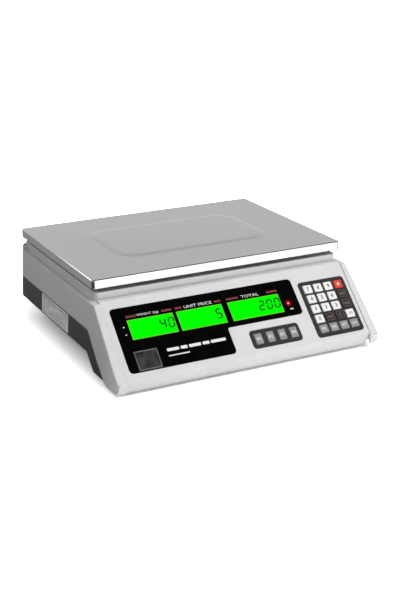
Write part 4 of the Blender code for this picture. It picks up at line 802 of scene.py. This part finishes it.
steel = settle(made, {
    "Base Color": steel_tone.mix(rgb(0.80, 0.80, 0.80), rgb(0.86, 0.86, 0.86)),
    "Metallic": 1.0,
    "Roughness": lines * 0.10 + broad * 0.08 + 0.11}, lines, 0.05, 0.0002)
place_piece("tray_pan", solid([stack(tray_rows)], sharp=50), "tray", "tray_steel", steel, "tray")


# ---------------------------------------------------------------- weighing mechanism
# Under the tray: a zinc-plated steel spider with four rubber cups on its arms, screwed to an
# aluminium load cell, which stands on a zinc-plated base plate in the bottom of the case.


def plated(name, tone, rough, stretch=(260.0, 260.0, 260.0)):
    """Bare or plated metal: cloudy tone, with rolling or brushing marks drawn out by stretch."""
    made, start, place = finish(name)
    marks = start.node("TexNoise", None, {"Vector": start.node("Mapping", None, {0: place, 3: stretch}),
                                          "Scale": 1.0, "Detail": 3.0})
    flakes = start.node("TexVoronoi", None, {"Vector": place, "Scale": 130.0}, out=1)
    cloud = (marks * 0.6 + start.node("RGBToBW", None, {0: flakes}) * 0.4).between(0.25, 0.75)
    dull = tuple(0.80 * c for c in tone)
    return settle(made, {"Base Color": cloud.mix(rgb(*dull), rgb(*tone)), "Metallic": 1.0,
                         "Roughness": cloud * -0.14 + (rough + 0.07)}, marks, 0.06, 0.0002)


zinc = plated("zinc_plate", (0.66, 0.65, 0.62), 0.36)
aluminium = plated("aluminium", (0.80, 0.80, 0.81), 0.34, (60.0, 6.0, 900.0))
rubber = moulded("rubber", (0.022, 0.022, 0.023), 0.72, 1500.0, 0.25)
eased("spider", "platform_spider", "housing", "zinc_plate", zinc, 0.00008, 1)
eased("load_beam", "load_cell", "housing", "aluminium", aluminium, 0.0004, 2)
eased("beam_base", "load_cell_base", "housing", "zinc_plate", zinc, 0.0004, 2)

low, high = (np.array(corner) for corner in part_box("platform_spider"))
STUB_INSET = 0.008
CUP_WALL = 0.0022
cup = [(STUB_INSET + 0.0002, -0.0060), (STUB_INSET + CUP_WALL - 0.0004, -0.0060),
       (STUB_INSET + CUP_WALL, -0.0054), (STUB_INSET + CUP_WALL - 0.0007, -0.0008),
       (STUB_INSET + CUP_WALL - 0.0011, -0.0004), (STUB_INSET + 0.0002, -0.0004)]
stub_middle, stub_reach = (low + high)[:2] / 2, (high - low)[:2] / 2 - STUB_INSET
spider_points = np.array([v.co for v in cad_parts["platform_spider"].data.vertices])
tips = spider_points[spider_points[:, 2] > high[2] - 0.0005]
cups = []
for i in (-1, 1):
    for j in (-1, 1):
        mine = tips[(tips[:, 0] * i > 0) & ((tips[:, 1] - tips[:, 1].mean()) * j > 0)]
        place_here = (mine.min(0) + mine.max(0))[:2] / 2
        rings, faces = turned([(r, high[2] + z) for r, z in cup], place_here, 32)
        count = len(cup)
        shape = stack(rings.reshape(count, 32, 3), loop=True)
        cups.append(shape)
place_piece("tray_cups", solid(cups), "housing", "rubber", rubber)


# ---------------------------------------------------------------- power supply
# A laminated transformer with a taped winding and a sealed lead battery under a zinc-plated
# strap. They stand either side of the load cell.

battery_plastic = moulded("battery_case", (0.16, 0.165, 0.175), 0.42, 900.0, 0.08)
eased("accumulator", "battery", "housing", "battery_case", battery_plastic, 0.0012)
eased("hold_down", "battery_strap", "housing", "zinc_plate", zinc, 0.0003, 2)
made, start, place = finish("dark_steel")
sheets = start.node("TexWave", {"bands_direction": "Z"},
                    {"Vector": place, "Scale": 320.0, "Distortion": 0.6})
varnish = start.node("TexNoise", None, {"Vector": place, "Scale": 90.0, "Detail": 3.0})
sheet_tone = (sheets * 0.6 + varnish * 0.4).between(0.2, 0.8)
laminated = settle(made, {
    "Base Color": sheet_tone.mix(rgb(0.045, 0.040, 0.036), rgb(0.14, 0.13, 0.12)),
    "Metallic": varnish.between(0.35, 0.6) * 0.5 + 0.4,
    "Roughness": sheets * 0.15 + 0.38}, sheets, 0.2, 0.0002)
eased("mains_transformer", "transformer", "housing", "dark_steel", laminated, 0.0004, 2)


# ---------------------------------------------------------------- circuit boards
# Three glass-epoxy boards: the main one on bosses in the case, one behind the displays and one
# behind the keys. Green solder mask over copper tracks, with tinned pads.

made, start, place = finish("circuit_board")
tracks = start.node("TexBrick", {"offset": 0.37}, {
    "Vector": place, "Scale": 160.0, "Mortar Size": 0.035, "Mortar Smooth": 0.2, "Brick Width": 1.7,
    "Row Height": 0.42}, out=1)
spots = start.node("TexVoronoi", None, {"Vector": place, "Scale": 210.0, "Randomness": 0.35})
pads = 1.0 - spots.between(0.20, 0.26)
weave = start.node("TexNoise", None, {"Vector": place, "Scale": 1400.0, "Detail": 1.0})
mask_green = tracks.mix(rgb(0.008, 0.085, 0.030), rgb(0.016, 0.16, 0.055))
board_finish = settle(made, {
    "Base Color": pads.mix(mask_green, rgb(0.62, 0.62, 0.60)), "Metallic": pads * 0.9,
    "Roughness": weave * 0.12 + 0.26 - pads * 0.05}, pads + tracks, 0.15, 0.0001)
for which in ("display", "keypad", "main"):
    eased(which + "_pcb", which + "_board", "housing", "circuit_board", board_finish, 0.0001, 1)


# ---------------------------------------------------------------- spirit level
# A round acrylic vial of yellow-green liquid under the smoked window, with a black ring round
# the middle and a bubble in it.

low, high = (np.array(corner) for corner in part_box("spirit_level"))
made, start, place = finish("level_vial")
away = start.node("VectorMath", {"operation": "DISTANCE"},
                  {0: place, 1: tuple((low + high) / 2)}, out=1) * 1000.0
swirl = start.node("TexNoise", None, {"Vector": place, "Scale": 300.0, "Detail": 2.0})
liquid = swirl.mix(rgb(0.42, 0.62, 0.05), rgb(0.55, 0.74, 0.10))
bubble = 1.0 - away.between(2.9, 3.4)
ring = (abs(away - 4.6) * -1.0 + 0.45).between(0.0, 0.15)
settle(made, {"Base Color": ring.mix(bubble.mix(liquid, rgb(0.80, 0.90, 0.45)), rgb(0.01, 0.01, 0.01)),
              "Roughness": swirl * 0.04 + 0.05, "Coat Weight": 0.5})
eased("level_body", "spirit_level", "housing", "level_vial", made, 0.0003, 2)


# ---------------------------------------------------------------- rear display
# The customer's side: a black acrylic strip let into the back with a display module behind it.
# Its three readings show through green areas of the strip.


def outer_face(node, facing, across):
    """Matrix of a node's flat face that looks most nearly one way: x runs nearly across, z
    straight out, and the origin is the mean of the face's parts, weighted by their area."""
    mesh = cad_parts[node].data
    count = len(mesh.polygons)
    normal, middle, area = np.empty(count * 3), np.empty(count * 3), np.empty(count)
    mesh.polygons.foreach_get("normal", normal)
    mesh.polygons.foreach_get("center", middle)
    mesh.polygons.foreach_get("area", area)
    normal, middle = normal.reshape(-1, 3), middle.reshape(-1, 3)
    looks = normal @ np.array(Vector(facing).normalized())
    best = normal[np.argmax(area * (looks > 0.8))]
    same = normal @ best > 0.9995
    same &= np.abs((middle - middle[np.argmax(area * (looks > 0.8))]) @ best) < 0.0002
    out = Vector(best)
    side = Vector(across)
    side = (side - out * side.dot(out)).normalized()
    made = Matrix((side, out.cross(side), out)).transposed().to_4x4()
    made.translation = Vector((middle[same] * area[same, None]).sum(0) / area[same].sum())
    return made


eased("rear_panel", "rear_window", "housing", "black_acrylic", black_acrylic, 0.0003, 2)
back = outer_face("rear_window", (0, 1, 0), (-1, 0, 0))
low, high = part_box("rear_lcd")
rear_high = high[2] - low[2]
made, start, place = finish("rear_green")
cloud = start.node("TexNoise", None, {"Vector": place, "Scale": 60.0, "Detail": 1.0})
settle(made, {"Base Color": rgb(0.0, 0.01, 0.0), "Specular IOR Level": 0.0, "Roughness": cloud * 0.1 + 0.3,
              "Emission Color": cloud.between(0.2, 0.8).mix(rgb(0.001, 0.93, 0.001),
                                                            rgb(0.002, 1.0, 0.002)),
              "Emission Strength": 1.0})
eased("rear_module", "rear_lcd", "housing", "green_lcd", made, 0.0002, 1)
areas, figures = [], []
for centre, width, reading in ((-0.0580, 0.050, "40"), (0.0, 0.052, "5"), (0.0595, 0.054, "200")):
    areas.append(slab(lozenge((centre, -0.0022), (width, rear_high - 0.001), 0.0003), -FILM, 0))
    for i, figure in enumerate(reversed(reading)):
        figures += digit(figure, centre + width / 2 - 0.0012 - i * 0.0100, rear_high / 2 - 0.0048,
                         (0.0058, 0.0105), 0.0014)
flush = back @ Matrix.Translation((0, 0, FILM * 0.2))
place_piece("rear_areas", gather(areas, flush), "housing", "green_lcd", made)
place_piece("rear_figures", gather(figures, back @ Matrix.Translation((0, 0, -FILM * 0.5))), "housing",
            "green_lcd", segment_black)
for text, centre in (("WEIGHT", -0.0580), ("UNIT PRICE", 0.0), ("TOTAL", 0.0595)):
    words("rear_" + text.split()[0].lower(), text, "housing", "black_acrylic", white_ink, (centre, 0.0102),
          0.0026, 0.0024 * len(text), place=back, low=-FILM * 0.8)


# ---------------------------------------------------------------- mains inlet
# A black nylon socket let into the back, with three flat plated pins standing in its well.

nylon = moulded("black_nylon", (0.026, 0.026, 0.027), 0.50, 2000.0, 0.12)
eased("inlet_shell", "power_inlet", "housing", "black_nylon", nylon, 0.0003, 2)
low, high = (np.array(corner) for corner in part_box("power_inlet"))
middle = (low + high) / 2
out_back = Matrix(((-1, 0, 0), (0, 0, 1), (0, 1, 0))).transposed().to_4x4()
out_back.translation = Vector((middle[0], low[1], middle[2]))
pins = []
for x, z in ((-0.0070, -0.0020), (0.0, 0.0020), (0.0070, -0.0020)):
    blade = [(0, 0.0015), (0, 0.0113), (0.0003, 0.0116), (0.0006, 0.0118)]
    pins.append(lofted((x, z), (0.0022, 0.0042), 0.0003, blade, 2))
place_piece("inlet_pins", solid(pins, out_back), "housing", "zinc_plate", zinc)


# ---------------------------------------------------------------- power switch
# A rocker in a black nylon frame, let into the underside of the right shelf. Its two ends carry
# a white stroke and a white ring.

eased("switch_bezel", "switch_frame", "housing", "black_nylon", nylon, 0.0003, 2)
rocker_plastic = moulded("rocker_black", (0.020, 0.020, 0.021), 0.30, 2600.0, 0.04)
eased("rocker_key", "power_rocker", "power_rocker", "rocker_black", rocker_plastic, 0.0004, 3)
for name, lean_out in (("on", -1), ("off", 1)):
    seat = outer_face("power_rocker", (0, 0.16 * lean_out, -1), (1, 0, 0))
    if name == "on":
        shape = slab(lozenge((0, 0), (0.0007, 0.0034), 0.0003), 0, FILM)
    else:
        line = [(0, 0), (0, FILM), (0.0006, FILM), (0.0006, 0)]
        shape = lofted((0, 0), (0.0034, 0.0034), 0.0017, line, 6, loop=True)
    mark = gather([shape], seat @ Matrix.Translation((0, 0, -FILM * 0.8)))
    place_piece("rocker_" + name, mark, "power_rocker", "rocker_black", white_ink)


# ---------------------------------------------------------------- levelling feet
# Four ribbed rubber pads, each moulded on the head of a zinc-plated M8 stud with a hexagonal
# collar. The stud screws into a boss in the case.


def threaded(centre, radius, low, high, pitch, deep, sides=32, steps=8):
    """A thread: the radius at angle a and height z is the full one less the depth times a
    triangle wave of z / pitch - a / 360 degrees, fading out in the last pitch at both ends."""
    angle = np.arange(sides) * 2 * np.pi / sides
    height = np.linspace(low, high, int((high - low) / pitch * steps) + 1)
    turn, z = np.meshgrid(angle, height)
    wave = np.abs(2 * (((z - low) / pitch - turn / (2 * np.pi)) % 1) - 1)
    fade = np.clip((z - low) / pitch, 0, 1) * np.clip((high - z) / pitch, 0, 1)
    r = radius - deep * wave * fade - 0.0006 * np.clip(1 - (high - z) / 0.0006, 0, 1)
    return stack(np.stack((centre[0] + r * np.cos(turn), centre[1] + r * np.sin(turn), z), 2))


def hexagon(centre, across, profile):
    """A six-sided collar: each (inset, height) of the profile is a hexagon moved in."""
    angle = np.arange(6) * np.pi / 3
    flat = np.stack((np.cos(angle), np.sin(angle)), 1)
    return stack([np.column_stack((centre + (across - inset) * flat, np.full(6, height)))
                  for inset, height in profile])


for corner in ("front_left", "front_right", "rear_left", "rear_right"):
    low, high = (np.array(point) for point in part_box("foot_pad_" + corner))
    centre, radius = (low + high)[:2] / 2, float(high[0] - low[0]) / 2
    rows = [(0.0006, low[2]), (radius - 0.0016, low[2]), (radius - 0.0008, low[2] + 0.0003),
            (radius - 0.0003, low[2] + 0.0011)]
    for rib in range(3):
        base, groove = low[2] + 0.0013 + 0.0009 * rib, radius - 0.00045
        rows += [(radius, base), (radius, base + 0.0004), (groove, base + 0.0006), (groove, base + 0.0008)]
    rows += [(radius - 0.0008, high[2] - 0.0004), (radius - 0.0014, high[2]), (0.0006, high[2])]
    pad = "foot_pad_" + corner
    place_piece("pad_" + corner, solid([turned(rows, centre, 40)], sharp=25), pad, "rubber", rubber, pad)
    low, high = (np.array(point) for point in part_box("foot_stud_" + corner))
    centre = (low + high)[:2] / 2
    across = max(high[0] - low[0], high[1] - low[1]) / 2
    collar = hexagon(centre, across, [(0.0006, low[2]), (0, low[2] + 0.0005), (0, low[2] + 0.0035),
                                      (0.0006, low[2] + 0.0040)])
    thread = threaded(centre, 0.0040, low[2] + 0.0038, high[2], 0.00125, 0.00065)
    collar[0][:, :2] = centre + (collar[0][:, :2] - centre) @ (
        np.array(((1, 0), (0, 1))) if high[0] - low[0] > high[1] - low[1] else np.array(((0, 1), (-1, 0))))
    stud = "foot_stud_" + corner
    place_piece("stud_" + corner, solid([collar, thread], sharp=25), stud, "zinc_plate", zinc, stud)


# ---------------------------------------------------------------- rating label
# A printed polyester label in a shallow seat on the left side. Its lines are plain bars.

made, start, place = finish("label_film")
cloud = start.node("TexNoise", None, {"Vector": place, "Scale": 120.0, "Detail": 3.0})
paper = cloud.between(0.3, 0.7).mix(rgb(0.93, 0.93, 0.925), rgb(0.98, 0.98, 0.975))
label_finish = settle(made, {"Base Color": paper, "Roughness": cloud * 0.1 + 0.34}, cloud, 0.03, 0.0001)
eased("label", "rating_label", "housing", "label_film", label_finish, 0.0001, 1)
seat = outer_face("rating_label", (-1, 0, 0), (0, -1, 0))
low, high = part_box("rating_label")
long, tall = high[1] - low[1], high[2] - low[2]
draw = np.random.default_rng(7)
LINE_PITCH = 0.0034
MARGIN = 0.0035
SPACE = 0.0012
bars = []
for i, v in enumerate(np.arange(tall / 2 - 0.0028, -tall / 2 + 0.0018, -LINE_PITCH)):
    stretch, thick = (1.0, 0.0008) if i else (1.6, 0.0012)
    u = -long / 2 + MARGIN
    while u < long / 2 - 0.006:
        width = min(float(draw.uniform(0.004, 0.013)) * stretch, long / 2 - 0.003 - u)
        if draw.random() > 0.16:
            bars.append(slab(lozenge((u + width / 2, v), (width, thick), 0.0002, 1), 0, FILM))
        u += width + SPACE
place_piece("label_lines", gather(bars, seat @ Matrix.Translation((0, 0, -FILM * 0.6))), "housing",
            "label_film", ink("label_ink", (0.20, 0.20, 0.20)))


# ---------------------------------------------------------------- case screws
# Six zinc-plated pan-head screws with cross recesses hold the two cases together from below.

under = outer_face("lower_case", (0, 0, -1), (1, 0, 0))


def screw_head(centre, radius, high):
    """A pan head: rings of a quarter ellipse from the rim to the crown, then a cross recess,
    whose radius at angle a is 0.42 / (0.24 + |sin 2a|) of a millimetre, kept under 1.5."""
    angle = np.arange(48) * 2 * np.pi / 48
    rings = []
    for share in np.linspace(0, 0.82, 6):
        tilt = share * np.pi / 2
        rings.append((radius * math.cos(tilt) * np.ones(48), high * math.sin(tilt)))
    arm = np.minimum(0.00042 / (0.24 + np.abs(np.sin(2 * angle))), 0.0015)
    crown = high * math.sin(0.82 * np.pi / 2)
    rings += [(arm * 1.08, crown + 0.00003), (arm, crown - 0.0001), (arm * 0.45, crown - 0.0009)]
    rings.insert(0, (radius * 0.98 * np.ones(48), -0.0003))
    return stack([np.column_stack((centre[0] + r * np.cos(angle), centre[1] + r * np.sin(angle),
                                   np.full(48, z))) for r, z in rings])


HEAD = (0.0034, 0.0017)        # radius, height
heads = [screw_head((x, y), *HEAD) for x in (-0.088, 0.088) for y in (-0.085, 0.0, 0.085)]
place_piece("case_screws", solid(heads, under, sharp=50), "housing", "zinc_plate", zinc)
